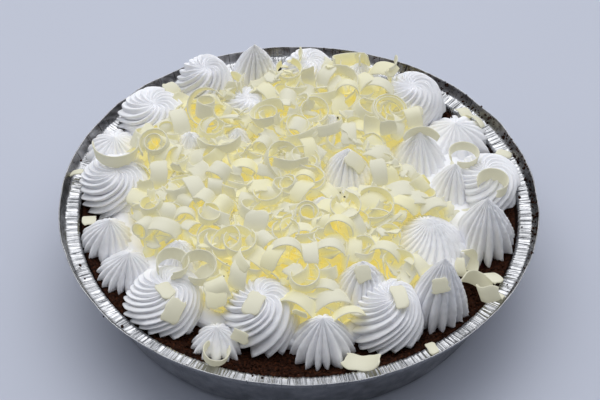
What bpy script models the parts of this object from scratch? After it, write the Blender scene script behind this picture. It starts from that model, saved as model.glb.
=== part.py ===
"""A cheesecake pie in its foil tin, topped with piped cream and white chocolate curls.

Sizes are metres, +Z is up and the origin is the middle of the tin's flat base.
The camera side of the pie is -Y.
"""
import math
import random
from dataclasses import dataclass

import bmesh
import bpy
from mathutils import Matrix, Vector
from mathutils.bvhtree import BVHTree

# Tin
LIP_TOP_RADIUS = 0.1160
LIP_TOP_HEIGHT = 0.0420
FLANGE_OUTER_RADIUS = 0.1137
FLANGE_OUTER_HEIGHT = 0.0369
FLANGE_INNER_RADIUS = 0.1074
FLANGE_INNER_HEIGHT = 0.0362
WALL_TOP_RADIUS = 0.1067
WALL_TOP_HEIGHT = 0.0350
WALL_FOOT_RADIUS = 0.0990
WALL_FOOT_HEIGHT = 0.0040
BASE_RADIUS = 0.0950
CORNER_BULGE = 0.0011
FOIL_THICKNESS = 0.0004
ROUND_STEPS = 64

# Crust and filling
CLEARANCE = 0.0003
CRUST_FLOOR = 0.0008
CRUST_FLOOR_THICKNESS = 0.0055
CRUST_FOOT_RADIUS = 0.0940
CRUST_TOP_RADIUS = 0.1056
CRUST_TOP_HEIGHT = 0.0338
CRUST_CREST_HEIGHT = 0.0342
CRUST_CREST_RADIUS = 0.1046
CRUST_INNER_RADIUS = 0.0952
CRUST_INNER_FOOT_RADIUS = 0.0905
FILLING_HEIGHT = 0.0304
FILLING_RADIUS = 0.0947
FILLING_FOOT_RADIUS = 0.0900
FILLING_EDGE_ROUNDING = 0.0010
FILLING_EDGE_DROP = 0.0008
CRUST_SLOPE_RADIUS = 0.1000
CRUST_OUTER_FOOT_RADIUS = 0.0981
CRUST_OUTER_FOOT_HEIGHT = 0.0048

# Piped cream
CREAM_FOOT_LIMIT = 0.1056
CREAM_OVERHANG_LIMIT = 0.1090
CREAM_FLANGE_LEVEL = 0.3
RIB_LOBES = 10
RIB_DEPTH = 0.085
ROSETTE_TWIST = math.radians(115.0)
CREAM_LEVELS = (0.0, 0.09, 0.36, 0.63, 0.87)
CREAM_FOOT_WIDTH = 0.95
CREAM_NEIGHBOUR_REACH = 1.0
ROSETTE_FULLNESS = (2.4, 0.60)
STAR_FULLNESS = (1.6, 0.85)

# Heap of curls
PIE_HALF_WIDTH = 0.100
LATTICE = 0.0075
LATTICE_ROW = LATTICE * math.sqrt(3.0) / 2.0
LATTICE_OVERLAP = 0.15 * LATTICE
LATTICE_DRAW = 0.4 * LATTICE
WELD = 0.000002
HEAP_TOP = 0.0475
HEAP_EDGE_TOP = 0.0410
HEAP_SLOPE_WIDTH = 0.025
HEAP_DOLLOP_GAP = 0.0013
HEAP_MIN_THICKNESS = 0.0022
HEAP_UNEVENNESS = 0.0012
CURL_COUNT = 46
CURL_TRIES = 6000
CURL_SPACING = 0.0135
CURL_EDGE_MARGIN = 0.002
CURL_THICKNESS = 0.0011
CURL_TAPER = 0.25
CURL_SINK = 0.0012
SEED = 20

# Loose curls
DROP_START = 0.090
DROP_COARSE = 0.0010
DROP_FINE = 0.0002

MM = 0.001


@dataclass(frozen=True)
class Dollop:
    """One piped dollop of cream, its bearing in degrees and its other sizes in millimetres."""

    name: str
    kind: str
    bearing: float
    reach: float
    radius: float
    height: float
    lean_right: float = 0.0
    lean_back: float = 0.0

    @property
    def middle(self):
        """Middle of the foot in plan."""
        angle = math.radians(self.bearing)
        return Vector((self.reach * math.cos(angle), self.reach * math.sin(angle))) * MM

    @property
    def shift(self):
        """How far the peak stands from above the middle of the foot."""
        return Vector((self.lean_right, self.lean_back)) * MM

    @property
    def peak_height(self):
        """Height of the peak above the table."""
        return FILLING_HEIGHT + CLEARANCE + self.height * MM


DOLLOPS = (
    Dollop("cream_west_rosette", "rosette", 173, 90, 19, 21),
    Dollop("cream_west_star", "star", 194, 94, 13, 18, 2, 0),
    Dollop("cream_southwest_star", "star", 208, 92, 13, 17, 3, 0),
    Dollop("cream_southwest_rosette", "rosette", 226, 89, 18.5, 18, 3, 3),
    Dollop("cream_front_small_star", "star", 247, 93, 11.5, 14),
    Dollop("cream_front_rosette", "rosette", 257, 75, 18.5, 20.5, 0, 3),
    Dollop("cream_front_star", "star", 277, 87, 14.5, 21),
    Dollop("cream_southeast_rosette", "rosette", 300, 84, 17.5, 19, 0, 2),
    Dollop("cream_southeast_tall_star", "star", 314, 91, 13.5, 34, 2, 3),
    Dollop("cream_east_tall_star", "star", 346, 91, 14.5, 29, 0, 2),
    Dollop("cream_east_rosette", "rosette", 8, 93, 18, 19),
    Dollop("cream_east_inner_star", "star", 7, 77, 13, 22, 0, 2),
    Dollop("cream_northeast_low_star", "star", 31, 93, 18, 16),
    Dollop("cream_northeast_rosette", "rosette", 51, 93, 17, 24),
    Dollop("cream_north_right_star", "star", 70, 94, 14, 23),
    Dollop("cream_north_rosette", "rosette", 87, 94, 15, 23),
    Dollop("cream_north_tall_star", "star", 104, 95, 14, 33),
    Dollop("cream_northwest_rosette", "rosette", 121, 95, 16, 29),
    Dollop("cream_northwest_low_rosette", "rosette", 141, 95, 18, 22),
    Dollop("cream_west_low_star", "star", 158, 98, 15, 17),
    Dollop("cream_inner_east_rosette", "rosette", 336, 67, 19, 19),
    Dollop("cream_inner_northeast_star", "star", 27, 68, 15, 22, 0, 3),
    Dollop("cream_inner_north_star", "star", 34, 29, 13, 23, 0, 5),
    Dollop("cream_inner_south_star", "star", 296, 66, 14, 25, 0, 3),
    Dollop("cream_inner_southwest_star", "star", 215, 68, 13, 20),
)

# Dollops that the heap of curls lies over in part
COVERED = (
    "cream_west_low_star", "cream_northwest_low_rosette", "cream_northwest_rosette",
    "cream_north_tall_star", "cream_north_rosette", "cream_north_right_star",
    "cream_northeast_rosette", "cream_west_rosette",
)

# How far the heap reaches from the middle, by bearing in degrees
HEAP_REACH = (
    (0, 70), (20, 64), (31, 60), (42, 76), (50, 86), (70, 93), (87, 93), (98, 90), (106, 84),
    (121, 86), (132, 84), (141, 80), (156, 82), (166, 78), (174, 70), (184, 74), (200, 76),
    (212, 62), (222, 56), (236, 64), (250, 62), (262, 62), (270, 72), (280, 72), (288, 60),
    (300, 46), (310, 54), (322, 52), (334, 46), (350, 48), (360, 70),
)


@dataclass(frozen=True)
class LooseCurl:
    """One curl or flake of chocolate that lies apart from the heap.

    Places and sizes are millimetres and angles are degrees. A flake lies flat before it is tilted,
    a ring stands with its axis upright.
    """

    name: str
    across: float
    back: float
    ring: bool
    bend_radius: float
    sweep: float
    width: float
    heading: float
    tilt: float
    roll: float = 0.0


LOOSE_CURLS = (
    LooseCurl("curl_on_small_star", -37, -97, True, 5.6, 250, 6, -80, 0, 42),
    LooseCurl("curl_on_front_rim", 28, -100, False, 18, 60, 8.5, 75, 0, 8),
    LooseCurl("chip_on_front_rim", 59, -92, False, 14, 28, 4.5, 20, 0, 10),
    LooseCurl("curl_southeast_loop", 80, -42, True, 6.5, 230, 7, 160, 40),
    LooseCurl("curl_southeast_folded", 81, -51, True, 7.5, 140, 8, 95, 20),
    LooseCurl("curl_southeast_bent", 85, -62, True, 11, 95, 8, -150, 25),
    LooseCurl("curl_southeast_square", 90, -51, False, 14, 40, 9, 30, 35, 0),
    LooseCurl("chip_southeast_rim", 92, -62, False, 14, 30, 5, 60, 0, 0),
    LooseCurl("flake_west_crust", -101, -12, False, 9, 60, 6.5, 10, 10, 0),
    LooseCurl("flake_on_tall_star", 63, -72, False, 30, 16, 7.5, 90, 0, 62),
    LooseCurl("flake_on_southeast_rosette", 46, -77, False, 20, 28, 8, 80, 0, 35),
    LooseCurl("flake_on_southwest_rosette", -60, -66, False, 18, 30, 7, 35, 0, 10),
    LooseCurl("flake_low_on_southwest_rosette", -56, -76, False, 18, 34, 8, -20, 0, 22),
    LooseCurl("flake_on_front_rosette", -20, -76, False, 18, 34, 8, -20, 0, 20),
    LooseCurl("chip_on_front_rosette", -26, -88, False, 14, 28, 6, 70, 0, 45),
    LooseCurl("flake_on_south_star", 29, -58, False, 22, 20, 7, 75, 0, 45),
    LooseCurl("curl_on_west_lip", -110, 17, False, 10, 40, 4, 80, 0, 20),
    LooseCurl("curl_on_northeast_flange", 91, 59, False, 12, 70, 5, 35, 0, 20),
    LooseCurl("chip_on_east_flange", 104, 35, False, 14, 30, 4.5, 60, 0, 10),
    LooseCurl("flake_on_north_star", 28, 16, False, 16, 36, 8, 60, 0, 40),
    LooseCurl("ring_on_east_inner_star", 84, 24, True, 6.5, 330, 5, 40, 15),
    LooseCurl("ring_on_east_rosette", 96, 2, True, 7, 300, 5, 120, 12),
    LooseCurl("curl_on_northeast_star", 62, 33, True, 8, 170, 6, -90, 30),
    LooseCurl("curl_on_west_rosette", -88, 12, True, 9, 200, 7, 200, 25),
    LooseCurl("ring_on_southwest_star", -56, -50, True, 6.5, 320, 8, 60, 35),
    LooseCurl("ring_by_southwest_star", -43, -52, True, 7, 320, 8, 20, 30),
)


def linked_object(name, mesh, parts, material):
    """Put a mesh in the parts collection under its own name and material."""
    made = bpy.data.objects.new(name, mesh)
    parts.objects.link(made)
    made.data.materials.clear()
    made.data.materials.append(material)
    return made


def plain_material(name, colour, roughness, metallic=0.0):
    """A plain surface with a colour of its own."""
    made = bpy.data.materials.new(name)
    made.use_nodes = True
    shader = made.node_tree.nodes["Principled BSDF"]
    shader.inputs["Base Color"].default_value = (*colour, 1.0)
    shader.inputs["Roughness"].default_value = roughness
    shader.inputs["Metallic"].default_value = metallic
    made.diffuse_color = (*colour, 1.0)
    return made


def turned(name, profile, parts, material, closed_thickness=0.0):
    """Turn a profile of (radius, height) points about the upright axis."""
    mesh = bpy.data.meshes.new(name)
    edges = [(index, index + 1) for index in range(len(profile) - 1)]
    mesh.from_pydata([(radius, 0.0, height) for radius, height in profile], edges, [])
    made = linked_object(name, mesh, parts, material)
    screw = made.modifiers.new("turn", "SCREW")
    screw.axis = "Z"
    screw.angle = math.tau
    screw.steps = ROUND_STEPS
    screw.render_steps = ROUND_STEPS
    screw.use_merge_vertices = True
    screw.merge_threshold = 0.00001
    screw.use_smooth_shade = True
    if closed_thickness:
        solid = made.modifiers.new("sheet", "SOLIDIFY")
        solid.thickness = closed_thickness
        solid.offset = -1.0
    return made


def ground(radius):
    """Height of the filling and the crust under the cream, at a distance from the middle."""
    if radius <= CRUST_INNER_RADIUS:
        return FILLING_HEIGHT
    share = (radius - CRUST_INNER_RADIUS) / (CRUST_CREST_RADIUS - CRUST_INNER_RADIUS)
    return FILLING_HEIGHT + (CRUST_CREST_HEIGHT - FILLING_HEIGHT) * min(share, 1.0)


def fullness(kind, level):
    """Width of a dollop at a share of its height, as a share of its widest."""
    rise, spread = ROSETTE_FULLNESS if kind == "rosette" else STAR_FULLNESS
    return max(1.0 - level ** rise, 0.0) ** spread


def cell_limit(dollop, others, axis, direction):
    """Furthest a dollop may reach from its axis in a direction before its neighbours begin."""
    limit = CREAM_NEIGHBOUR_REACH
    for other in others:
        apart = other.middle - dollop.middle
        distance = apart.length
        toward = apart / distance
        cosine = direction.dot(toward)
        if cosine <= 0.02:
            continue
        radii = ((dollop.radius * MM) ** 2 - (other.radius * MM) ** 2) / (2.0 * distance)
        border = distance / 2.0 + radii - CLEARANCE / 2.0
        limit = min(limit, (border - (axis - dollop.middle).dot(toward)) / cosine)
    return limit


def outer_limit(axis, direction, level):
    """Furthest a dollop may reach from its axis before the tin, or over its flange."""
    edge = CREAM_FOOT_LIMIT if level < CREAM_FLANGE_LEVEL else CREAM_OVERHANG_LIMIT
    along = axis.dot(direction)
    inside = edge ** 2 - axis.length_squared
    return -along + math.sqrt(along * along + inside)


def cream_dollop(dollop, parts, material):
    """Loft one ribbed dollop, its sections kept clear of the neighbours and the tin."""
    others = [other for other in DOLLOPS if other is not dollop]
    work = bmesh.new()
    count = RIB_LOBES * 2
    rings = []
    for level in CREAM_LEVELS:
        width = CREAM_FOOT_WIDTH if level == 0.0 else fullness(dollop.kind, level)
        twist = ROSETTE_TWIST * level if dollop.kind == "rosette" else 0.0
        axis = dollop.middle + dollop.shift * level ** 1.5
        ring = []
        for step in range(count):
            angle = math.tau * step / count + twist
            direction = Vector((math.cos(angle), math.sin(angle)))
            rib = 1.0 + RIB_DEPTH * (1.0 if step % 2 == 0 else -1.0)
            reach = dollop.radius * MM * width * rib
            reach = min(
                reach,
                cell_limit(dollop, others, axis, direction),
                outer_limit(axis, direction, level),
            )
            place = axis + direction * reach
            foot = ground(place.length) + CLEARANCE
            height = foot + (dollop.peak_height - foot) * level
            ring.append(work.verts.new((place.x, place.y, height)))
        rings.append(ring)
    for lower, upper in zip(rings, rings[1:]):
        for step in range(count):
            after = (step + 1) % count
            work.faces.new((lower[step], lower[after], upper[after], upper[step]))
    peak_place = dollop.middle + dollop.shift
    peak = work.verts.new((peak_place.x, peak_place.y, dollop.peak_height))
    foot_height = ground(dollop.middle.length) + CLEARANCE
    foot = work.verts.new((dollop.middle.x, dollop.middle.y, foot_height))
    for step in range(count):
        after = (step + 1) % count
        work.faces.new((rings[-1][step], rings[-1][after], peak))
        work.faces.new((rings[0][after], rings[0][step], foot))
    bmesh.ops.recalc_face_normals(work, faces=work.faces)
    mesh = bpy.data.meshes.new(dollop.name)
    work.to_mesh(mesh)
    work.free()
    return linked_object(dollop.name, mesh, parts, material)


def height_over(dollop, place, margin):
    """Top of a dollop anywhere within a margin of a place in plan, or 0 where it does not reach."""
    width = dollop.radius * MM * (1.0 + RIB_DEPTH)
    share = ((place - dollop.middle).length - margin) / width
    if share >= 1.0:
        return 0.0
    if share <= 0.0:
        return dollop.peak_height
    rise, spread = ROSETTE_FULLNESS if dollop.kind == "rosette" else STAR_FULLNESS
    level = (1.0 - share ** (1.0 / spread)) ** (1.0 / rise)
    foot = FILLING_HEIGHT + CLEARANCE
    return foot + (dollop.peak_height - foot) * level


def heap_reach(place):
    """How far the heap reaches from the middle of the pie in the direction of a place."""
    bearing = math.degrees(math.atan2(place.y, place.x)) % 360.0
    for (start, near), (stop, far) in zip(HEAP_REACH, HEAP_REACH[1:]):
        if start <= bearing <= stop:
            return (near + (far - near) * (bearing - start) / (stop - start)) * MM
    return HEAP_REACH[0][1] * MM


def heap_margin(place):
    """Distance in plan from the edge of the heap, positive inside, and the way out of it."""
    outward = place.normalized() if place.length > 0.0 else Vector((1.0, 0.0))
    margin = heap_reach(place) - place.length
    for dollop in DOLLOPS:
        if dollop.name in COVERED:
            continue
        apart = dollop.middle - place
        room = apart.length - dollop.radius * MM * (1.0 + RIB_DEPTH) - HEAP_DOLLOP_GAP
        if room < margin:
            margin = room
            outward = apart.normalized()
    return margin, outward


def lattice_places():
    """Places of an even triangular lattice over the pie, by row and column."""
    places = {}
    rows = int(PIE_HALF_WIDTH / LATTICE_ROW) + 1
    columns = int(PIE_HALF_WIDTH / LATTICE) + 1
    for row in range(-rows, rows + 1):
        for column in range(-columns, columns + 1):
            offset = 0.5 if row % 2 else 0.0
            places[(row, column)] = Vector(((column + offset) * LATTICE, row * LATTICE_ROW))
    return places


def lattice_triangles(places):
    """Triangles between neighbouring lattice places."""
    triangles = []
    for row, column in places:
        shift = 1 if row % 2 else 0
        upper_left = (row + 1, column + shift - 1)
        upper_right = (row + 1, column + shift)
        beside = (row, column + 1)
        for corners in (((row, column), upper_right, upper_left), ((row, column), beside, upper_right)):
            if all(corner in places for corner in corners):
                triangles.append(corners)
    return triangles


def heap_plan():
    """Triangles of the heap in plan, with their outer places drawn to the heap's edge."""
    work = bmesh.new()
    places = lattice_places()
    kept = {key: place for key, place in places.items() if heap_margin(place)[0] > -LATTICE_OVERLAP}
    corners = {key: work.verts.new((place.x, place.y, 0.0)) for key, place in kept.items()}
    for triangle in lattice_triangles(kept):
        work.faces.new([corners[key] for key in triangle])
    pinched = True
    while pinched:
        loose = [vert for vert in work.verts if not vert.link_faces]
        bmesh.ops.delete(work, geom=loose, context="VERTS")
        pinched = [
            vert for vert in work.verts if sum(edge.is_boundary for edge in vert.link_edges) > 2
        ]
        bmesh.ops.delete(work, geom=pinched, context="VERTS")
    rim = [vert for vert in work.verts if any(edge.is_boundary for edge in vert.link_edges)]
    for vert in rim:
        place = Vector((vert.co.x, vert.co.y))
        margin, outward = heap_margin(place)
        step = max(min(margin, LATTICE_DRAW), -LATTICE_DRAW)
        vert.co.x += outward.x * step
        vert.co.y += outward.y * step
    return work


def smooth_share(value):
    """A share from 0 to 1 with soft ends."""
    value = max(0.0, min(1.0, value))
    return value * value * (3.0 - 2.0 * value)


def heap_core():
    """A low mound over the filling and the covered dollops, open round the bare ones."""
    work = heap_plan()
    chance = random.Random(SEED)
    lower_faces = list(work.faces)
    upper = {}
    for vert in list(work.verts):
        place = Vector((vert.co.x, vert.co.y))
        below = max(height_over(dollop, place, LATTICE) for dollop in DOLLOPS if dollop.name in COVERED)
        below = max(below, ground(place.length)) + CLEARANCE
        share = smooth_share(heap_margin(place)[0] / HEAP_SLOPE_WIDTH)
        above = HEAP_EDGE_TOP + (HEAP_TOP - HEAP_EDGE_TOP) * share
        above += chance.uniform(-HEAP_UNEVENNESS, HEAP_UNEVENNESS)
        above = max(above, below + HEAP_MIN_THICKNESS)
        vert.co.z = below
        upper[vert] = work.verts.new((vert.co.x, vert.co.y, above))
    border = [edge for edge in work.edges if edge.is_boundary]
    sides = []
    for edge in border:
        loop = edge.link_loops[0]
        sides.append((loop.vert, loop.link_loop_next.vert))
    for face in lower_faces:
        work.faces.new([upper[vert] for vert in face.verts])
    for first, second in sides:
        work.faces.new((second, first, upper[first], upper[second]))
    bmesh.ops.recalc_face_normals(work, faces=work.faces)
    return work


def curl_mesh(bend_radius, sweep, width, thickness, segments, ring):
    """A bent strip with squared ends, its axis upright, or laid flat with its bow upwards."""
    work = bmesh.new()
    rows = []
    for step in range(segments + 1):
        share = step / segments
        angle = (share - 0.5) * sweep
        half = width / 2.0 * (1.0 - CURL_TAPER * abs(2.0 * share - 1.0) ** 3)
        outer = Vector((math.cos(angle), math.sin(angle), 0.0)) * (bend_radius + thickness / 2.0)
        inner = Vector((math.cos(angle), math.sin(angle), 0.0)) * (bend_radius - thickness / 2.0)
        rise = Vector((0.0, 0.0, half))
        corners = (outer - rise, outer + rise, inner + rise, inner - rise)
        rows.append([work.verts.new(spot) for spot in corners])
    for first, second in zip(rows, rows[1:]):
        for side in range(4):
            after = (side + 1) % 4
            work.faces.new((first[side], second[side], second[after], first[after]))
    work.faces.new(rows[0])
    work.faces.new(list(reversed(rows[-1])))
    if not ring:
        bmesh.ops.translate(work, verts=work.verts, vec=(-bend_radius, 0.0, 0.0))
        bmesh.ops.rotate(work, verts=work.verts, matrix=Matrix.Rotation(-math.pi / 2.0, 3, "Y"))
    bmesh.ops.recalc_face_normals(work, faces=work.faces)
    return work


def turned_about(work, heading, tilt, roll):
    """Tilt a piece about the two level axes, then turn it to its heading."""
    turn = Matrix.Rotation(heading, 3, "Z") @ Matrix.Rotation(roll, 3, "Y") @ Matrix.Rotation(tilt, 3, "X")
    bmesh.ops.rotate(work, verts=work.verts, matrix=turn)


def heap_curl(chance):
    """One of the heap's larger curls: a ring, an arch or a flake."""
    kind = chance.random()
    heading = chance.uniform(0.0, math.tau)
    tilt = math.radians(chance.uniform(-35.0, 35.0))
    if kind < 0.45:
        sweep = math.radians(chance.uniform(200.0, 320.0))
        work = curl_mesh(chance.uniform(5.5, 7.5) * MM, sweep, chance.uniform(5.0, 7.5) * MM,
                         CURL_THICKNESS, 7, True)
    elif kind < 0.8:
        sweep = math.radians(chance.uniform(100.0, 160.0))
        work = curl_mesh(chance.uniform(6.0, 9.0) * MM, sweep, chance.uniform(6.0, 9.0) * MM,
                         CURL_THICKNESS, 5, False)
        if chance.random() < 0.5:
            tilt += math.pi
    else:
        sweep = math.radians(chance.uniform(30.0, 45.0))
        work = curl_mesh(0.016, sweep, chance.uniform(7.0, 9.0) * MM, CURL_THICKNESS, 2, False)
    turned_about(work, heading, tilt, math.radians(chance.uniform(-25.0, 25.0)))
    return work


def tree_of(work):
    """A search tree of a piece under work."""
    return BVHTree.FromBMesh(work)


def spread_places(chance):
    """Places over the heap, no two of them nearer than the curls' spacing."""
    places = []
    for _ in range(CURL_TRIES):
        place = Vector((
            chance.uniform(-PIE_HALF_WIDTH, PIE_HALF_WIDTH),
            chance.uniform(-PIE_HALF_WIDTH, PIE_HALF_WIDTH),
        ))
        if heap_margin(place)[0] < CURL_EDGE_MARGIN:
            continue
        if all((place - other).length > CURL_SPACING for other in places):
            places.append(place)
    return places[:CURL_COUNT]


def heap_of_curls(parts, material, cream_trees):
    """Join the largest curls to the heap's core as one closed body."""
    core = heap_core()
    core_tree = tree_of(core)
    mesh = bpy.data.meshes.new("curls_heap")
    core.to_mesh(mesh)
    core.free()
    heap = linked_object("curls_heap", mesh, parts, material)
    pieces = bpy.data.collections.new("curls_to_join")
    bpy.context.scene.collection.children.link(pieces)
    chance = random.Random(SEED + 1)
    for place in spread_places(chance):
        work = heap_curl(chance)
        lowest = min(work.verts, key=lambda vert: vert.co.z)
        under = Vector((place.x + lowest.co.x, place.y + lowest.co.y, 0.2))
        spot, _, _, _ = core_tree.ray_cast(under, Vector((0.0, 0.0, -1.0)))
        if spot is None:
            work.free()
            continue
        rise = spot.z - CURL_SINK - lowest.co.z
        bmesh.ops.translate(work, verts=work.verts, vec=(place.x, place.y, rise))
        work_tree = tree_of(work)
        if not any(work_tree.overlap(tree) for tree in cream_trees):
            piece_mesh = bpy.data.meshes.new("curl_to_join")
            work.to_mesh(piece_mesh)
            pieces.objects.link(bpy.data.objects.new("curl_to_join", piece_mesh))
        work.free()
    pieces.hide_render = True
    union = heap.modifiers.new("join", "BOOLEAN")
    union.operation = "UNION"
    union.operand_type = "COLLECTION"
    union.collection = pieces
    union.solver = "EXACT"
    bpy.context.view_layer.update()
    seen = heap.evaluated_get(bpy.context.evaluated_depsgraph_get())
    joined = bpy.data.meshes.new_from_object(seen)
    heap.modifiers.clear()
    heap.data = joined
    for piece in list(pieces.objects):
        bpy.data.objects.remove(piece, do_unlink=True)
    bpy.data.collections.remove(pieces)
    keep_largest_body(heap)
    heap.data.materials.clear()
    heap.data.materials.append(material)
    return heap


def keep_largest_body(target):
    """Drop loose scraps and closed hollows left by the joining."""
    work = bmesh.new()
    work.from_mesh(target.data)
    bmesh.ops.remove_doubles(work, verts=work.verts, dist=WELD)
    bmesh.ops.triangulate(work, faces=work.faces)
    bmesh.ops.dissolve_degenerate(work, edges=work.edges, dist=WELD)
    unseen = set(work.verts)
    bodies = []
    while unseen:
        body = set()
        front = [unseen.pop()]
        while front:
            vert = front.pop()
            body.add(vert)
            for edge in vert.link_edges:
                other = edge.other_vert(vert)
                if other in unseen:
                    unseen.remove(other)
                    front.append(other)
        bodies.append(body)
    bodies.sort(key=len)
    for body in bodies[:-1]:
        bmesh.ops.delete(work, geom=list(body), context="VERTS")
    work.to_mesh(target.data)
    work.free()


def object_tree(target):
    """A search tree of an object as it stands."""
    return BVHTree.FromObject(target, bpy.context.evaluated_depsgraph_get())


def loose_curl(curl, trees, parts, material):
    """Lower a loose curl until it all but touches what lies under it."""
    segments = 2 if not curl.ring and curl.sweep < 50 else max(4, int(curl.sweep / 45))
    work = curl_mesh(curl.bend_radius * MM, math.radians(curl.sweep), curl.width * MM,
                     CURL_THICKNESS, segments, curl.ring)
    turned_about(work, math.radians(curl.heading), math.radians(curl.tilt), math.radians(curl.roll))
    bmesh.ops.translate(work, verts=work.verts, vec=(curl.across * MM, curl.back * MM, DROP_START))
    for step in (DROP_COARSE, DROP_FINE):
        for _ in range(int(DROP_START / DROP_COARSE)):
            bmesh.ops.translate(work, verts=work.verts, vec=(0.0, 0.0, -step))
            work_tree = tree_of(work)
            if any(work_tree.overlap(tree) for tree in trees):
                bmesh.ops.translate(work, verts=work.verts, vec=(0.0, 0.0, step))
                break
    bmesh.ops.translate(work, verts=work.verts, vec=(0.0, 0.0, CLEARANCE))
    trees.append(tree_of(work))
    mesh = bpy.data.meshes.new(curl.name)
    work.to_mesh(mesh)
    work.free()
    return linked_object(curl.name, mesh, parts, material)


def main():
    """Build the pie."""
    for old in list(bpy.data.objects):
        bpy.data.objects.remove(old, do_unlink=True)
    parts = bpy.data.collections.new("cheesecake_pie")
    bpy.context.scene.collection.children.link(parts)
    foil = plain_material("foil", (0.72, 0.73, 0.75), 0.30, 1.0)
    crumb = plain_material("crumb", (0.06, 0.022, 0.012), 0.85)
    velvet = plain_material("velvet", (0.16, 0.01, 0.012), 0.55)
    cream = plain_material("cream", (0.90, 0.90, 0.91), 0.45)
    chocolate = plain_material("white_chocolate", (0.90, 0.86, 0.62), 0.40)
    corner_middle = (
        (BASE_RADIUS + WALL_FOOT_RADIUS) / 2.0 + CORNER_BULGE,
        WALL_FOOT_HEIGHT / 2.0 - CORNER_BULGE,
    )
    tin = turned("foil_tin", (
        (LIP_TOP_RADIUS, LIP_TOP_HEIGHT),
        (FLANGE_OUTER_RADIUS, FLANGE_OUTER_HEIGHT),
        (FLANGE_INNER_RADIUS, FLANGE_INNER_HEIGHT),
        (WALL_TOP_RADIUS, WALL_TOP_HEIGHT),
        (WALL_FOOT_RADIUS, WALL_FOOT_HEIGHT),
        corner_middle,
        (BASE_RADIUS, 0.0),
        (0.0, 0.0),
    ), parts, foil, FOIL_THICKNESS)
    crust = turned("crust", (
        (0.0, CRUST_FLOOR + CRUST_FLOOR_THICKNESS),
        (CRUST_INNER_FOOT_RADIUS, CRUST_FLOOR + CRUST_FLOOR_THICKNESS),
        (CRUST_INNER_RADIUS, FILLING_HEIGHT - CLEARANCE),
        (CRUST_SLOPE_RADIUS, ground(CRUST_SLOPE_RADIUS) - CLEARANCE),
        (CRUST_CREST_RADIUS, CRUST_CREST_HEIGHT - CLEARANCE),
        (CRUST_TOP_RADIUS, CRUST_TOP_HEIGHT - CLEARANCE),
        (CRUST_OUTER_FOOT_RADIUS, CRUST_OUTER_FOOT_HEIGHT),
        (CRUST_FOOT_RADIUS, CRUST_FLOOR),
        (0.0, CRUST_FLOOR),
    ), parts, crumb)
    filling = turned("filling", (
        (0.0, FILLING_HEIGHT),
        (FILLING_RADIUS - FILLING_EDGE_ROUNDING, FILLING_HEIGHT),
        (FILLING_RADIUS, FILLING_HEIGHT - FILLING_EDGE_DROP),
        (FILLING_FOOT_RADIUS, CRUST_FLOOR + CRUST_FLOOR_THICKNESS + CLEARANCE),
        (0.0, CRUST_FLOOR + CRUST_FLOOR_THICKNESS + CLEARANCE),
    ), parts, velvet)
    dollops = [cream_dollop(dollop, parts, cream) for dollop in DOLLOPS]
    bpy.context.view_layer.update()
    trees = [object_tree(dollop) for dollop in dollops]
    heap = heap_of_curls(parts, chocolate, trees)
    bpy.context.view_layer.update()
    trees.extend(object_tree(target) for target in (heap, tin, crust, filling))
    for curl in LOOSE_CURLS:
        loose_curl(curl, trees, parts, chocolate)


main()
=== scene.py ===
"""A cheesecake pie in a foil tin, dressed with piped cream, curls of white chocolate and crumbs.

Sizes are metres unless a name ends in _mm. The camera side of the pie is -Y.
"""

import logging
import math
from dataclasses import dataclass, field
from enum import Enum

import bpy
import numpy as np
from mathutils import Matrix, Vector


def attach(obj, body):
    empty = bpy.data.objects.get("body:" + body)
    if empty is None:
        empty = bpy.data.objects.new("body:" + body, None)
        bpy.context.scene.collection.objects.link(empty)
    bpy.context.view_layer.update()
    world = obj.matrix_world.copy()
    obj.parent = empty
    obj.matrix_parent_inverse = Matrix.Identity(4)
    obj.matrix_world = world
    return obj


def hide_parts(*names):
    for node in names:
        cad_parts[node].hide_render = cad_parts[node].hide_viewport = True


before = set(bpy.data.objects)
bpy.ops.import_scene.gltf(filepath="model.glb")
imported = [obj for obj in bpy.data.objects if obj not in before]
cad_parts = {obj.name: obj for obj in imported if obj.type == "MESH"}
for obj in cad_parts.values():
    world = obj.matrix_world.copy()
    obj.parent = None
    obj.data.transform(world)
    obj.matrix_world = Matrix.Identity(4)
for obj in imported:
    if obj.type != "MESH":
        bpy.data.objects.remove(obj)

LOG = logging.getLogger("pie")
MM = 0.001
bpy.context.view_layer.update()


class Slot(Enum):
    """The record's material slots."""

    FOIL = "foil"
    CRUMB = "crumb"
    VELVET = "velvet"
    CREAM = "cream"
    CHOCOLATE = "white_chocolate"


class Piping(Enum):
    """How a dollop of cream is piped."""

    STAR = "star"
    ROSETTE = "rosette"


class CurlKind(Enum):
    """How a piece of chocolate is shaped."""

    CORE = "bed"
    SHRED = "shreds"
    RING = "rings"
    ROLL = "rolls"
    ARCH = "arches"
    FLAKE = "flakes"
    CROWN = "crown"


@dataclass(frozen=True)
class TinSize:
    """Sizes of the foil tin and of what fills it."""

    lip_radius: float = 0.1160
    lip_height: float = 0.0420
    flange_outer_radius: float = 0.1137
    flange_inner_radius: float = 0.1074
    flange_inner_height: float = 0.0362
    wall_top_radius: float = 0.1067
    wall_top_height: float = 0.0350
    wall_foot_radius: float = 0.0990
    wall_foot_height: float = 0.0040
    base_radius: float = 0.0950
    foil: float = 0.00025
    crimp_pitch: float = 0.00172
    crimp_depth: float = 0.00060


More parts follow.
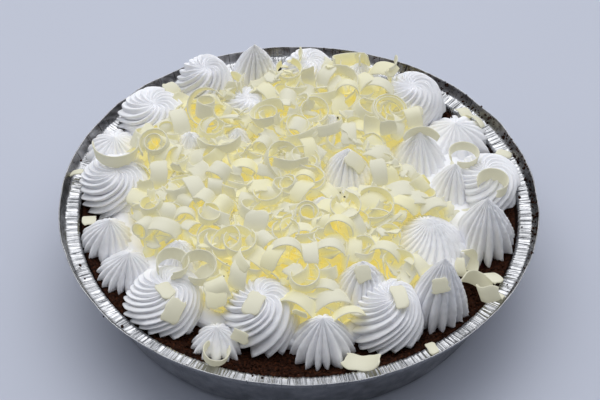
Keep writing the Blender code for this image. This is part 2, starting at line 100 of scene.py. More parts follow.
@dataclass(frozen=True)
class FillSize:
    """Sizes of the crust and the filling."""

    crust_top_radius: float = 0.1058
    crust_crest_radius: float = 0.1046
    crust_crest_height: float = 0.0342
    crust_inner_radius: float = 0.0952
    crust_spread_radius: float = 0.0820
    filling_height: float = 0.0304

    def ground(self, radius: np.ndarray) -> np.ndarray:
        """Height of the filling and the crust.

        Args:
            radius: Distances from the middle.

        Returns:
            The height at each distance.
        """
        share = (radius - self.crust_inner_radius) / (self.crust_crest_radius - self.crust_inner_radius)
        rise = self.crust_crest_height - self.filling_height
        return self.filling_height + rise * np.clip(share, 0.0, 1.0)


TIN = TinSize()
FILL = FillSize()


@dataclass(frozen=True)
class Dollop:
    """One piped dollop: bearing in degrees, other sizes in millimetres.

    Bare is how far round its middle the cream stays free of the heap's curls.
    """

    name: str
    piping: Piping
    bearing: float
    reach: float
    radius: float
    height: float
    lean_right: float = 0.0
    lean_back: float = 0.0
    ribs: int = 16
    rough: float = 0.0
    swirl: float = 0.0
    bare: float = 0.0

    @property
    def middle(self) -> np.ndarray:
        """Middle of the foot in plan, in metres."""
        angle = math.radians(self.bearing)
        return np.array((self.reach * math.cos(angle), self.reach * math.sin(angle))) * MM


STAR = Piping.STAR
ROSETTE = Piping.ROSETTE

DOLLOPS = (
    Dollop("cream_west_rosette", ROSETTE, 173, 90, 19, 21, ribs=18, bare=12),
    Dollop("cream_west_star", STAR, 194, 94, 13, 18, 2, 0, ribs=17, bare=14),
    Dollop("cream_southwest_star", STAR, 208, 92, 13, 17, 3, 0, ribs=17, bare=14),
    Dollop("cream_southwest_rosette", ROSETTE, 226, 89, 18.5, 18, 3, 3, ribs=19, bare=16),
    Dollop("cream_front_small_star", STAR, 247, 93, 11.5, 14, ribs=14, bare=13),
    Dollop("cream_front_rosette", ROSETTE, 257, 75, 18.5, 20.5, 0, 3, ribs=17, bare=13),
    Dollop("cream_front_star", STAR, 277, 87, 14.5, 21, ribs=16, bare=8),
    Dollop("cream_southeast_rosette", ROSETTE, 298, 84, 17, 20, 3, 5, ribs=19, bare=14),
    Dollop("cream_southeast_tall_star", STAR, 314, 91, 13.5, 34, 2, 3, ribs=16, rough=1.0, bare=15),
    Dollop("cream_east_tall_star", STAR, 346, 91, 14.5, 29, 0, 2, ribs=17, rough=1.0, bare=17),
    Dollop("cream_east_rosette", ROSETTE, 8, 93, 18, 19, bare=13),
    Dollop("cream_east_inner_star", STAR, 7, 77, 13, 22, 0, 2, rough=0.5, bare=14),
    Dollop("cream_northeast_low_star", STAR, 31, 93, 18, 16, bare=16),
    Dollop("cream_northeast_rosette", ROSETTE, 51, 93, 17, 24, bare=11),
    Dollop("cream_north_right_star", STAR, 70, 94, 14, 23, rough=0.6, bare=4),
    Dollop("cream_north_rosette", ROSETTE, 87, 94, 15, 23, bare=7),
    Dollop("cream_north_tall_star", STAR, 104, 95, 14, 32, rough=1.3, bare=9),
    Dollop("cream_northwest_rosette", ROSETTE, 121, 95, 16, 29, bare=9),
    Dollop("cream_northwest_low_rosette", ROSETTE, 141, 96, 19, 21.5, bare=11),
    Dollop("cream_west_low_star", STAR, 158, 100, 17, 16, bare=8),
    Dollop("cream_inner_east_rosette", STAR, 336, 67, 20, 18.5, 0, 4,
           ribs=24, rough=0.8, swirl=0.7, bare=14),
    Dollop("cream_inner_northeast_star", STAR, 27, 68, 15, 22, 0, 3, ribs=18, bare=15),
    Dollop("cream_inner_north_star", STAR, 34, 29, 15, 23, 0, 5, ribs=18, rough=0.8, bare=13),
    Dollop("cream_inner_south_star", STAR, 296, 66, 15, 25, 0, 3, rough=1.0, bare=13),
    Dollop("cream_inner_southwest_star", STAR, 215, 68, 13, 20, rough=0.8, bare=9),
)

# Cream that shows here and there between the curls of the heap
UNDER_HEAP = (
    Dollop("cream_under_northeast", ROSETTE, 56, 66, 16, 16),
    Dollop("cream_under_north", STAR, 71, 52, 14, 20.5, rough=0.6, bare=5),
    Dollop("cream_under_north_northwest", ROSETTE, 112, 71, 15, 20.5, bare=6),
    Dollop("cream_under_northwest", STAR, 128, 50, 14, 20, rough=0.5, bare=5),
    Dollop("cream_under_west_northwest", STAR, 147, 65, 14, 21, rough=1.0, bare=5),
    Dollop("cream_under_west", ROSETTE, 172, 60, 16, 16),
    Dollop("cream_under_west_southwest", STAR, 195, 66, 15, 16),
    Dollop("cream_under_southwest", ROSETTE, 240, 60, 13, 13.5),
    Dollop("cream_under_south", STAR, 276, 60, 13, 14),
    Dollop("cream_under_southeast", ROSETTE, 322, 42, 15, 15),
    Dollop("cream_under_east", STAR, 4, 56, 15, 16),
    Dollop("cream_under_middle", STAR, 318, 15, 12, 20.5, rough=0.5, bare=5),
    Dollop("cream_under_middle_north", ROSETTE, 95, 28, 15, 16),
    Dollop("cream_under_middle_west", STAR, 155, 32, 15, 16),
    Dollop("cream_under_middle_southwest", ROSETTE, 210, 34, 15, 15),
    Dollop("cream_under_middle_south", STAR, 270, 34, 14, 15),
)

# How far the heap reaches from the middle in millimetres, by bearing in degrees
HEAP_REACH = (
    (0, 86), (20, 84), (31, 82), (42, 84), (50, 88), (70, 97), (87, 97), (98, 94), (106, 88),
    (121, 90), (132, 88), (141, 84), (156, 88), (166, 84), (174, 78), (184, 77), (200, 79),
    (214, 80), (236, 78), (262, 78), (276, 78), (288, 78), (310, 76), (326, 78), (350, 84), (360, 86),
)


@dataclass(frozen=True)
class LooseCurl:
    """One curl that lies apart from the heap. Sizes in millimetres, angles in degrees."""

    name: str
    across: float
    back: float
    ring: bool
    bend_radius: float
    sweep: float
    width: float
    heading: float
    tilt: float
    roll: float = 0.0


LOOSE_CURLS = (
    LooseCurl("curl_on_small_star", -37, -98, True, 5.2, 260, 6, -110, -12, 8),
    LooseCurl("curl_on_front_rim", 28, -100, False, 12, 80, 8.5, 68, 0, -26),
    LooseCurl("chip_on_front_rim", 59, -92, False, 14, 28, 4.5, 20, 0, 10),
    LooseCurl("curl_southeast_loop", 79, -40, True, 5.8, 320, 6, -27, 0, 66),
    LooseCurl("curl_southeast_folded", 81, -51, True, 7.5, 140, 8, 95, 30),
    LooseCurl("curl_southeast_bent", 85, -62, True, 11, 95, 8, -150, 38),
    LooseCurl("curl_southeast_square", 90, -50, False, 14, 42, 6.5, 20, 35, 0),
    LooseCurl("chip_southeast_rim", 90.4, -61, False, 14, 30, 5, 60, 0, 0),
    LooseCurl("flake_west_crust", -101, -12, False, 9, 60, 6.5, 10, 10, 0),
    LooseCurl("flake_on_tall_star", 63, -70.5, False, 30, 13, 7, 90, 0, 62),
    LooseCurl("flake_on_southeast_rosette", 45, -72, False, 20, 38, 6.5, 8, 0, 35),
    LooseCurl("flake_on_southwest_rosette", -60, -66, False, 18, 30, 7, 35, 0, 10),
    LooseCurl("flake_low_on_southwest_rosette", -56, -76, False, 18, 34, 8, -20, 0, 22),
    LooseCurl("flake_on_front_rosette", -20, -76, False, 18, 34, 8, -20, 0, 20),
    LooseCurl("chip_on_front_rosette", -26, -88, False, 14, 28, 6, 70, 0, 45),
    LooseCurl("flake_on_south_star", 29, -61, False, 22, 18, 7, 15, 0, 45),
    LooseCurl("curl_on_west_lip", -110, 17, False, 10, 40, 4, 80, 0, 20),
    LooseCurl("curl_on_northeast_flange", 91, 59, False, 12, 70, 5, 35, 0, 20),
    LooseCurl("chip_on_east_flange", 104, 35, False, 14, 30, 4.5, 60, 0, 10),
    LooseCurl("flake_on_north_star", 28, 16, False, 16, 36, 8, 60, 0, 40),
    LooseCurl("ring_on_east_inner_star", 82, 21, True, 6.5, 330, 5, 40, 0),
    LooseCurl("ring_on_east_rosette", 95, 1, True, 6.6, 260, 7.5, 50, 0),
    LooseCurl("curl_on_northeast_star", 61, 33, True, 9, 130, 6, 90, 0, -10),
    LooseCurl("curl_on_west_rosette", -89, 17, True, 10.2, 205, 8, -80, -4, 2),
    LooseCurl("ring_on_southwest_star", -57, -52, True, 6.5, 300, 8, 60, 12),
    LooseCurl("ring_by_southwest_star", -44, -54, True, 7, 300, 8, 20, 10),
)


@dataclass(frozen=True)
class TopCurl:
    """One large curl that lies on top of the heap. Millimetres and degrees.

    Lying curls have their axis level and arch upwards. The others stand on edge.
    """

    across: float
    back: float
    radius: float
    loosen: float
    sweep: float
    width: float
    heading: float
    tilt: float = 0.0
    roll: float = 0.0
    lying: bool = False
    over_cream: bool = False


TOP_CURLS = (
    TopCurl(-17, 47, 8.2, 0.05, 285, 6.5, 150, 0, 25),
    TopCurl(-71, 24, 3.2, 1.6, 620, 5, -90, 5, 18),
    TopCurl(4, -21, 2.8, 1.3, 580, 4.5, -90, -5, 18),
    TopCurl(8, 50, 6.6, 0.15, 340, 4.5, -60, 5, 22),
    TopCurl(46, 53, 7.6, 0.28, 600, 3.6, -70, -5, 15),
    TopCurl(-39, 22, 11, 0.1, 125, 7, -90, 4, 8),
    TopCurl(-4, 10, 12, 0.1, 85, 6.5, -88, -4, -8),
    TopCurl(-47, 51, 3.8, 0.35, 430, 8, 100, 8, 12),
    TopCurl(-68, 5, 8.5, 0.1, 115, 8.5, 5, 40, 5, lying=True),
    TopCurl(-38, 4, 5.2, 0.2, 200, 8, 55, 15, -8, lying=True),
    TopCurl(-27, 10, 6.6, 0.1, 165, 8, 85, 0, 10, lying=True),
    TopCurl(3, 3, 4.6, 0.15, 190, 5.5, 80, 0, 12, lying=True),
    TopCurl(-70, -17, 4.8, 0.15, 310, 6, -100, 8, 8),
    TopCurl(-42, -25, 4.6, 0.1, 330, 5, -60, -8, 10),
    TopCurl(-54, -20, 4.8, 0.1, 185, 6, 95, 0, 12, lying=True),
    TopCurl(-49, -7, 10, 0.3, 70, 9, 35, 20, 10, lying=True),
    TopCurl(-15, -13, 6.4, 0.1, 190, 5, -95, 6, 10),
    TopCurl(-18, -3, 12, 0.3, 50, 8.5, 100, 10, 0, lying=True),
    TopCurl(25, 91, 6.8, 0.1, 240, 6.5, 95, 0, 30),
    TopCurl(25, 66, 5.6, 0.1, 200, 6.5, 88, 0, 10, lying=True),
    TopCurl(25, 36, 12, 0.2, 60, 8, 10, 15, 5, lying=True),
    TopCurl(18, 24, 12, 0.2, 60, 8, -25, 25, 0, lying=True),
    TopCurl(38, 14, 10, 0.2, 75, 8, 75, 0, 50, lying=True),
    TopCurl(46, 19, 10, 0.2, 80, 8, 105, 0, -40, lying=True),
    TopCurl(66, 47, 11, 0.1, 80, 9.5, 20, 35, 10, lying=True),
    TopCurl(71, 12, 6, 0.1, 150, 6.5, 60, 10, 10, lying=True),
    TopCurl(72, -4, 7.5, 0.1, 140, 6, 90, 10, 10, lying=True),
    TopCurl(39, 4, 9, 0.3, 90, 8, 10, 40, 0, lying=True),
    TopCurl(-20, -31, 12, 0.1, 60, 10.5, -15, 45, 0, lying=True),
    TopCurl(-6, -48, 7.2, 0.1, 180, 7, 88, 0, 12, lying=True),
    TopCurl(-6, -37, 6, 0.1, 300, 5.5, -85, 0, 14),
    TopCurl(-34, -42, 7.8, 0.1, 250, 6, -70, 0, 10),
    TopCurl(-37, -72, 12, 0.1, 50, 10, 12, 25, 0, lying=True),
    TopCurl(1, -75, 9, 0.1, 130, 7.5, 60, 10, 0, lying=True, over_cream=True),
    TopCurl(14, -73, 10, 0.1, 120, 8, 115, 0, 0, lying=True, over_cream=True),
    TopCurl(21, -80, 9, 0.1, 110, 7, 100, -10, 20, lying=True, over_cream=True),
    TopCurl(26, -29, 10, 0.2, 90, 9, 30, 25, 0, lying=True),
    TopCurl(19, -32, 6.5, 0.1, 200, 6, 80, 0, 15, lying=True),
    TopCurl(49, -5, 9.5, 0.1, 100, 10, 95, 0, 0, lying=True),
    TopCurl(-60, 45, 9, 0.2, 110, 9, 20, 20, 0, lying=True),
    TopCurl(-79, 4, 7, 0.2, 140, 6.5, 80, 0, -10, lying=True),
    TopCurl(-44, 79, 7.5, 0.1, 150, 8, 70, 0, 0, lying=True),
    TopCurl(-5, 81, 6, 0.15, 310, 5.5, -80, 0, 15),
    TopCurl(-15, 66, 10, 0.2, 80, 8, 40, 20, 0, lying=True),
    TopCurl(14, 77, 9, 0.2, 90, 7.5, -30, 20, 0, lying=True),
    TopCurl(42, 70, 8, 0.1, 130, 7, 70, 0, 0, lying=True),
    TopCurl(14, -47, 7, 0.1, 160, 7, 85, 0, 10, lying=True),
    TopCurl(-55, -38, 7, 0.2, 170, 6.5, 100, 0, 10, lying=True),
    TopCurl(-27, -62, 9, 0.2, 90, 8, -20, 30, 0, lying=True),
    TopCurl(78, 30, 6, 0.1, 120, 6, 40, 0, 0, lying=True),
    TopCurl(1, 93, 7, 0.1, 60, 7, 0, 10, 10),
    TopCurl(34, 90, 6, 0.1, 75, 7.5, 60, -10, 0),
    TopCurl(50, 83, 6.5, 0.1, 90, 7, -20, 15, 10),
    TopCurl(-66, 73, 9, 0.1, 50, 7, 30, 20, 0, lying=True),
    TopCurl(-63, -29, 9, 0.2, 110, 8.5, 70, 10, 0, lying=True),
    TopCurl(1, -6, 9, 0.2, 80, 8, -30, 15, 0, lying=True),
    TopCurl(15, -18, 9, 0.2, 90, 8.5, 60, 0, 0, lying=True),
    TopCurl(53, 35, 5.5, 0.2, 300, 5.5, 30, 0, 10),
    TopCurl(46, -50, 6.5, 0.1, 220, 6, 80, 0, 8),
    TopCurl(54, -53, 6, 0.2, 120, 7, 40, 10, 0, lying=True),
    TopCurl(40, -45, 7, 0.2, 160, 7, 70, 0, 10, lying=True),
    TopCurl(11, -66, 8, 0.1, 130, 7.5, 80, 0, 10, lying=True, over_cream=True),
    TopCurl(3, -66, 6, 0.2, 250, 6, -80, 0, 12),
    TopCurl(-12, -54, 9, 0.2, 80, 8, -20, 20, 0, lying=True),
    TopCurl(75, -13, 6, 0.2, 200, 6, 80, 0, 10),
    TopCurl(57, -10, 8, 0.2, 100, 8, 100, 10, 0, lying=True),
    TopCurl(22, -22, 6, 0.3, 300, 5.5, -80, 0, 12),
    TopCurl(-27, -46, 6.5, 0.2, 260, 6, -90, 0, 10),
    TopCurl(86, 64, 6, 0.2, 90, 6, 20, 0, 0, lying=True),
    TopCurl(62, 63, 7, 0.1, 120, 8, -20, 20, 0, lying=True),
    TopCurl(75, 8, 6, 0.1, 70, 8, 20, 10, 0, lying=True),
    TopCurl(87, 5, 7, 0.2, 60, 7, -30, 10, 0, lying=True),
    TopCurl(50, -14, 8, 0.2, 120, 7, 60, 10, 0, lying=True),
    TopCurl(64, -13, 7, 0.2, 110, 7, 110, 0, 0, lying=True),
)


# Single crumbs that fell on the foil: across, back, height and width in millimetres
SCATTERED = (
    (-102, -43, 38.5, 1.4), (-88, -74, 38, 1), (-79, -80, 38, 1.6), (-49, -102, 38, 1.2),
    (108, 2, 38.5, 1.6), (112, -26, 41.5, 1.6), (109, -38.5, 41.8, 1.8), (105, -47.5, 41, 1.2),
    (-16, -109, 38, 1.2), (-20, -108, 38, 1), (107, -18, 38, 1), (96, -55, 38, 1), (96, -49, 38, 1.2),
    (-99, -51, 38, 1), (-58, -98, 38, 1), (47, -105, 40.8, 0.9), (66, -95, 41.6, 0.9), (-78, -85, 41.3, 1),
    (-109, 27, 40, 1.4), (-107, 18, 40, 1.2), (-108, 14, 40, 1.2), (100, 32, 38.5, 1.6),
    (104, 27, 38.5, 1.2),
)

# Single crumbs in the heap: across, back and width in millimetres
HEAP_SPECKS = (
    (22, -8, 1), (20, 49, 1.2), (20, -3, 0.8), (-33, -51, 0.8), (-34, -59, 0.8), (-28, -2, 1.2),
    (-35, -66, 0.8), (79, 58, 1.4), (25, 6, 0.7),
)


class Noise:
    """Smooth seeded noise over space, which repeats after a number of lumps."""

    SIDE = 32

    def __init__(self, seed: int) -> None:
        """Draw the noise's own values.

        Args:
            seed: Which noise of the kind to draw.
        """
        self.values = np.random.default_rng(seed).uniform(-1.0, 1.0, (self.SIDE,) * 3)

    def at(self, places: np.ndarray, scale: float) -> np.ndarray:
        """Noise from -1 to 1 at some places.

        Args:
            places: Places as an array whose last axis holds x, y and z.
            scale: Size of one lump of the noise.

        Returns:
            One value for each place.
        """
        spot = places / scale
        base = np.floor(spot).astype(int)
        share = spot - base
        share = share * share * (3.0 - 2.0 * share)
        total = np.zeros(places.shape[:-1])
        for corner in np.ndindex(2, 2, 2):
            weight = np.ones(places.shape[:-1])
            for axis, side in enumerate(corner):
                weight = weight * (share[..., axis] if side else 1.0 - share[..., axis])
            cell = (base + np.array(corner)) % self.SIDE
            total += weight * self.values[cell[..., 0], cell[..., 1], cell[..., 2]]
        return total


class Builder:
    """Gathers grids of points into one mesh."""

    def __init__(self) -> None:
        """Start with an empty mesh."""
        self.points: list[np.ndarray] = []
        self.faces: list[np.ndarray] = []
        self.tones: list[float] = []
        self.count = 0

    def add_grid(self, grid: np.ndarray, wrap: bool = False, flip: bool = False) -> None:
        """Add a sheet of four-sided faces.

        Args:
            grid: Points as rows, columns and x, y, z.
            wrap: Whether the last column joins the first.
            flip: Whether the faces look the other way.
        """
        rows, columns = grid.shape[:2]
        index = np.arange(rows * columns).reshape(rows, columns) + self.count
        after = np.roll(index, -1, axis=1)
        last = columns if wrap else columns - 1
        corners = (index[:-1, :last], after[:-1, :last], after[1:, :last], index[1:, :last])
        faces = np.stack([corner.ravel() for corner in corners], axis=-1)
        self.faces.append(faces[:, ::-1] if flip else faces)
        self.points.append(grid.reshape(-1, 3))
        self.count += rows * columns

    def add_solid(self, points: np.ndarray, faces: np.ndarray) -> None:
        """Add a body whose faces are already listed.

        Args:
            points: Its points.
            faces: Its four-sided faces, as places in the list of points.
        """
        self.faces.append(faces + self.count)
        self.points.append(points)
        self.count += len(points)

    def piece(self, name: str, material: bpy.types.Material, smooth: bool = True,
              **values: np.ndarray) -> bpy.types.Object:
        """Make the object.

        Args:
            name: The object's name.
            material: Its finish.
            smooth: Whether its faces are shaded as one surface.
            values: Named values of the points that the finish reads.

        Returns:
            The object, linked to the scene.
        """
        points = np.concatenate(self.points)
        faces = np.concatenate(self.faces)
        mesh = bpy.data.meshes.new(name)
        mesh.vertices.add(len(points))
        mesh.vertices.foreach_set("co", points.astype(np.float32).ravel())
        mesh.loops.add(faces.size)
        mesh.loops.foreach_set("vertex_index", faces.astype(np.int32).ravel())
        mesh.polygons.add(len(faces))
        mesh.polygons.foreach_set("loop_start", np.arange(0, faces.size, 4, dtype=np.int32))
        mesh.polygons.foreach_set("use_smooth", np.full(len(faces), smooth))
        mesh.update(calc_edges=True)
        mesh.validate()
        for key, value in values.items():
            layer = mesh.attributes.new(key, "FLOAT", "POINT")
            layer.data.foreach_set("value", value.astype(np.float32))
        mesh.materials.append(material)
        made = bpy.data.objects.new(name, mesh)
        bpy.context.scene.collection.objects.link(made)
        return made


Stops = tuple[tuple[float, tuple[float, float, float]], ...]


def fill_ramp(node: bpy.types.Node, stops: Stops) -> None:
    """Lay colours out on a colour ramp.

    Args:
        node: The ramp's node.
        stops: Place and colour of each stop.
    """
    elements = node.color_ramp.elements
    while len(elements) < len(stops):
        elements.new(0.5)
    for element, (place, colour) in zip(elements, stops):
        element.position = place
        element.color = (*colour, 1.0)


class Shader:
    """Short ways to lay out a material's nodes."""

    def __init__(self, name: str) -> None:
        """Start a material with one principled surface.

        Args:
            name: The material's name.
        """
        self.material = bpy.data.materials.new(name)
        self.material.use_nodes = True
        self.tree = self.material.node_tree
        self.surface = self.tree.nodes["Principled BSDF"]

    def node(self, kind: str, **values: object) -> bpy.types.Node:
        """Add a node.

        Args:
            kind: The node's type.
            values: Its properties.

        Returns:
            The node.
        """
        made = self.tree.nodes.new(kind)
        for key, value in values.items():
            setattr(made, key, value)
        return made

    def join(self, source: bpy.types.NodeSocket, target: bpy.types.NodeSocket) -> None:
        """Join two sockets."""
        self.tree.links.new(source, target)

    def set(self, name: str, value: object) -> None:
        """Set one of the surface's own sockets."""
        self.surface.inputs[name].default_value = value

    def value(self, name: str) -> bpy.types.NodeSocket:
        """A named value of the mesh's points."""
        return self.node("ShaderNodeAttribute", attribute_name=name).outputs["Fac"]

    def noise(self, scale: float, detail: float = 3.0, roughness: float = 0.55) -> bpy.types.NodeSocket:
        """Noise that stays with the object.

        Args:
            scale: Lumps to the metre.
            detail: How many finer layers it has.
            roughness: How strong those are.

        Returns:
            A value from 0 to 1.
        """
        place = self.node("ShaderNodeTexCoord")
        made = self.node("ShaderNodeTexNoise")
        made.inputs["Scale"].default_value = scale
        made.inputs["Detail"].default_value = detail
        made.inputs["Roughness"].default_value = roughness
        self.join(place.outputs["Object"], made.inputs["Vector"])
        return made.outputs["Fac"]

    def ramp(self, value: bpy.types.NodeSocket, stops: Stops) -> bpy.types.NodeSocket:
        """Colours laid out along a value.

        Args:
            value: The value.
            stops: Place and colour of each stop.

        Returns:
            The colour.
        """
        made = self.node("ShaderNodeValToRGB")
        fill_ramp(made, stops)
        self.join(value, made.inputs["Fac"])
        return made.outputs["Color"]

    def bump(self, height: bpy.types.NodeSocket, strength: float, distance: float) -> None:
        """Lay fine relief on the surface.

        Args:
            height: The relief's height.
            strength: How much of it shows.
            distance: Its depth in metres.
        """
        made = self.node("ShaderNodeBump")
        made.inputs["Strength"].default_value = strength
        made.inputs["Distance"].default_value = distance
        self.join(height, made.inputs["Height"])
        self.join(made.outputs["Normal"], self.surface.inputs["Normal"])


@dataclass(frozen=True)
class FoilFinish:
    """Thin rolled aluminium."""

    name: str = "foil_finish"
    dark: tuple = (0.36, 0.365, 0.375)
    light: tuple = (0.54, 0.545, 0.56)
    # Dark dull colours, for real dull patches and for painted shade
    smear_and_painted_shade: tuple = (0.07, 0.062, 0.060)
    smear_and_painted_shade_light: tuple = (0.20, 0.195, 0.195)
    roughness: float = 0.24
    patches: float = 160.0
    smears_and_painted_shade: float = 230.0

    def material(self) -> bpy.types.Material:
        """Make the material, which turns dark and dull as far as a value of the mesh says: real dull
        patches, and painted shade where the foil reflects the dark room and the shadowed table.

        Returns:
            The foil's material.
        """
        shader = Shader(self.name)
        shader.set("Metallic", 1.0)
        shader.set("Roughness", self.roughness)
        metal = shader.ramp(shader.noise(self.patches, 4.0), ((0.35, self.dark), (0.65, self.light)))
        # Mottled dark colour of the dull patches and of the painted shade
        smears_and_painted_shade = shader.ramp(shader.noise(self.smears_and_painted_shade, 4.0), ((0.35, self.smear_and_painted_shade), (0.65, self.smear_and_painted_shade_light)))
        mixed = shader.node("ShaderNodeMix", data_type="RGBA")
        shader.join(shader.value("stain"), mixed.inputs["Factor"])
        shader.join(metal, mixed.inputs[6])
        shader.join(smears_and_painted_shade, mixed.inputs[7])
        shader.join(mixed.outputs[2], shader.surface.inputs["Base Color"])
        shader.bump(shader.noise(420.0, 4.0, 0.6), 0.25, 0.0004)
        return shader.material


@dataclass(frozen=True)
class CrumbFinish:
    """Dark biscuit crumb."""

    name: str = "crumb_finish"
    dark: tuple = (0.006, 0.0025, 0.0015)
    middle: tuple = (0.024, 0.008, 0.004)
    light: tuple = (0.085, 0.026, 0.010)

    def material(self) -> bpy.types.Material:
        """Make the material, with single grains lighter than the rest.

        Returns:
            The crumb's material.
        """
        shader = Shader(self.name)
        shader.set("Roughness", 0.8)
        shader.set("Specular IOR Level", 0.07)
        grains = shader.noise(900.0, 5.0, 0.65)
        shader.join(shader.ramp(grains, ((0.35, self.dark), (0.52, self.middle), (0.72, self.light))),
                    shader.surface.inputs["Base Color"])
        shader.bump(shader.noise(1600.0, 3.0), 0.5, 0.0005)
        return shader.material


@dataclass(frozen=True)
class VelvetFinish:
    """Moist dark red filling."""

    name: str = "velvet_finish"
    dark: tuple = (0.045, 0.004, 0.004)
    light: tuple = (0.12, 0.012, 0.010)

    def material(self) -> bpy.types.Material:
        """Make the material, mottled and slightly shiny.

        Returns:
            The filling's material.
        """
        shader = Shader(self.name)
        shader.set("Roughness", 0.45)
        grains = shader.noise(500.0, 4.0, 0.6)
        shader.join(shader.ramp(grains, ((0.35, self.dark), (0.68, self.light))),
                    shader.surface.inputs["Base Color"])
        shader.bump(shader.noise(700.0, 3.0), 0.4, 0.0006)
        return shader.material


@dataclass(frozen=True)
class CreamFinish:
    """White piped cream."""

    name: str = "cream_finish"
    colour: tuple = (0.900, 0.903, 0.930)

    def material(self) -> bpy.types.Material:
        """Make the material, which lets a little light in under its surface.

        Returns:
            The cream's material.
        """
        shader = Shader(self.name)
        shader.set("Base Color", (*self.colour, 1.0))
        shader.set("Roughness", 0.50)
        shader.set("Specular IOR Level", 0.35)
        shader.set("Subsurface Weight", 0.35)
        shader.set("Subsurface Radius", (1.0, 0.95, 0.90))
        shader.set("Subsurface Scale", 0.0012)
        shader.bump(shader.noise(1300.0, 4.0, 0.6), 0.12, 0.0003)
        return shader.material


@dataclass(frozen=True)
class ChocolateFinish:
    """Ivory white chocolate, painted more yellow where it lies deep in the heap and given a painted glow,
    for light bounced between and passing through the curls.
    """

    name: str = "chocolate_finish"
    # From the tops of the heap down, paler to more yellow: painted bounce light
    pale: tuple = (0.530, 0.520, 0.430)
    ivory: tuple = (0.560, 0.536, 0.355)
    deep: tuple = (0.670, 0.590, 0.235)
    # Painted glow, emitted for light that passes through and bounces between the curls
    pale_painted_glow: tuple = (0.222, 0.214, 0.155)
    ivory_painted_glow: tuple = (0.302, 0.282, 0.153)
    deep_painted_glow: tuple = (0.318, 0.272, 0.077)
    tone_share: float = 0.22
    ivory_at: float = 0.30

    def along(self, pale: tuple, ivory: tuple, deep: tuple) -> Stops:
        """Lay three colours out from the tops of the heap to its depth, the deeper ones painted more yellow
        as bounce light.
        """
        return (0.0, pale), (self.ivory_at, ivory), (1.0, deep)

    def material(self) -> bpy.types.Material:
        """Make the material, whose colour and painted glow follow the mesh's depth and a shift that each
        point carries.

        Returns:
            The chocolate's material.
        """
        shader = Shader(self.name)
        shader.set("Roughness", 0.45)
        shader.set("Specular IOR Level", 0.30)
        tone = shader.node("ShaderNodeMath", operation="MULTIPLY_ADD", use_clamp=True)
        shader.join(shader.value("tone"), tone.inputs[0])
        tone.inputs[1].default_value = self.tone_share
        shader.join(shader.value("depth"), tone.inputs[2])
        colour = shader.ramp(tone.outputs[0], self.along(self.pale, self.ivory, self.deep))
        shader.join(colour, shader.surface.inputs["Base Color"])
        # Painted glow: emission that stands in for light coming through the thin shavings and bounced
        # between them
        painted_glow = shader.ramp(tone.outputs[0], self.along(self.pale_painted_glow, self.ivory_painted_glow, self.deep_painted_glow))
        shader.join(painted_glow, shader.surface.inputs["Emission Color"])
        shader.set("Emission Strength", 1.0)
        shader.bump(shader.noise(650.0, 3.0), 0.10, 0.0003)
        return shader.material


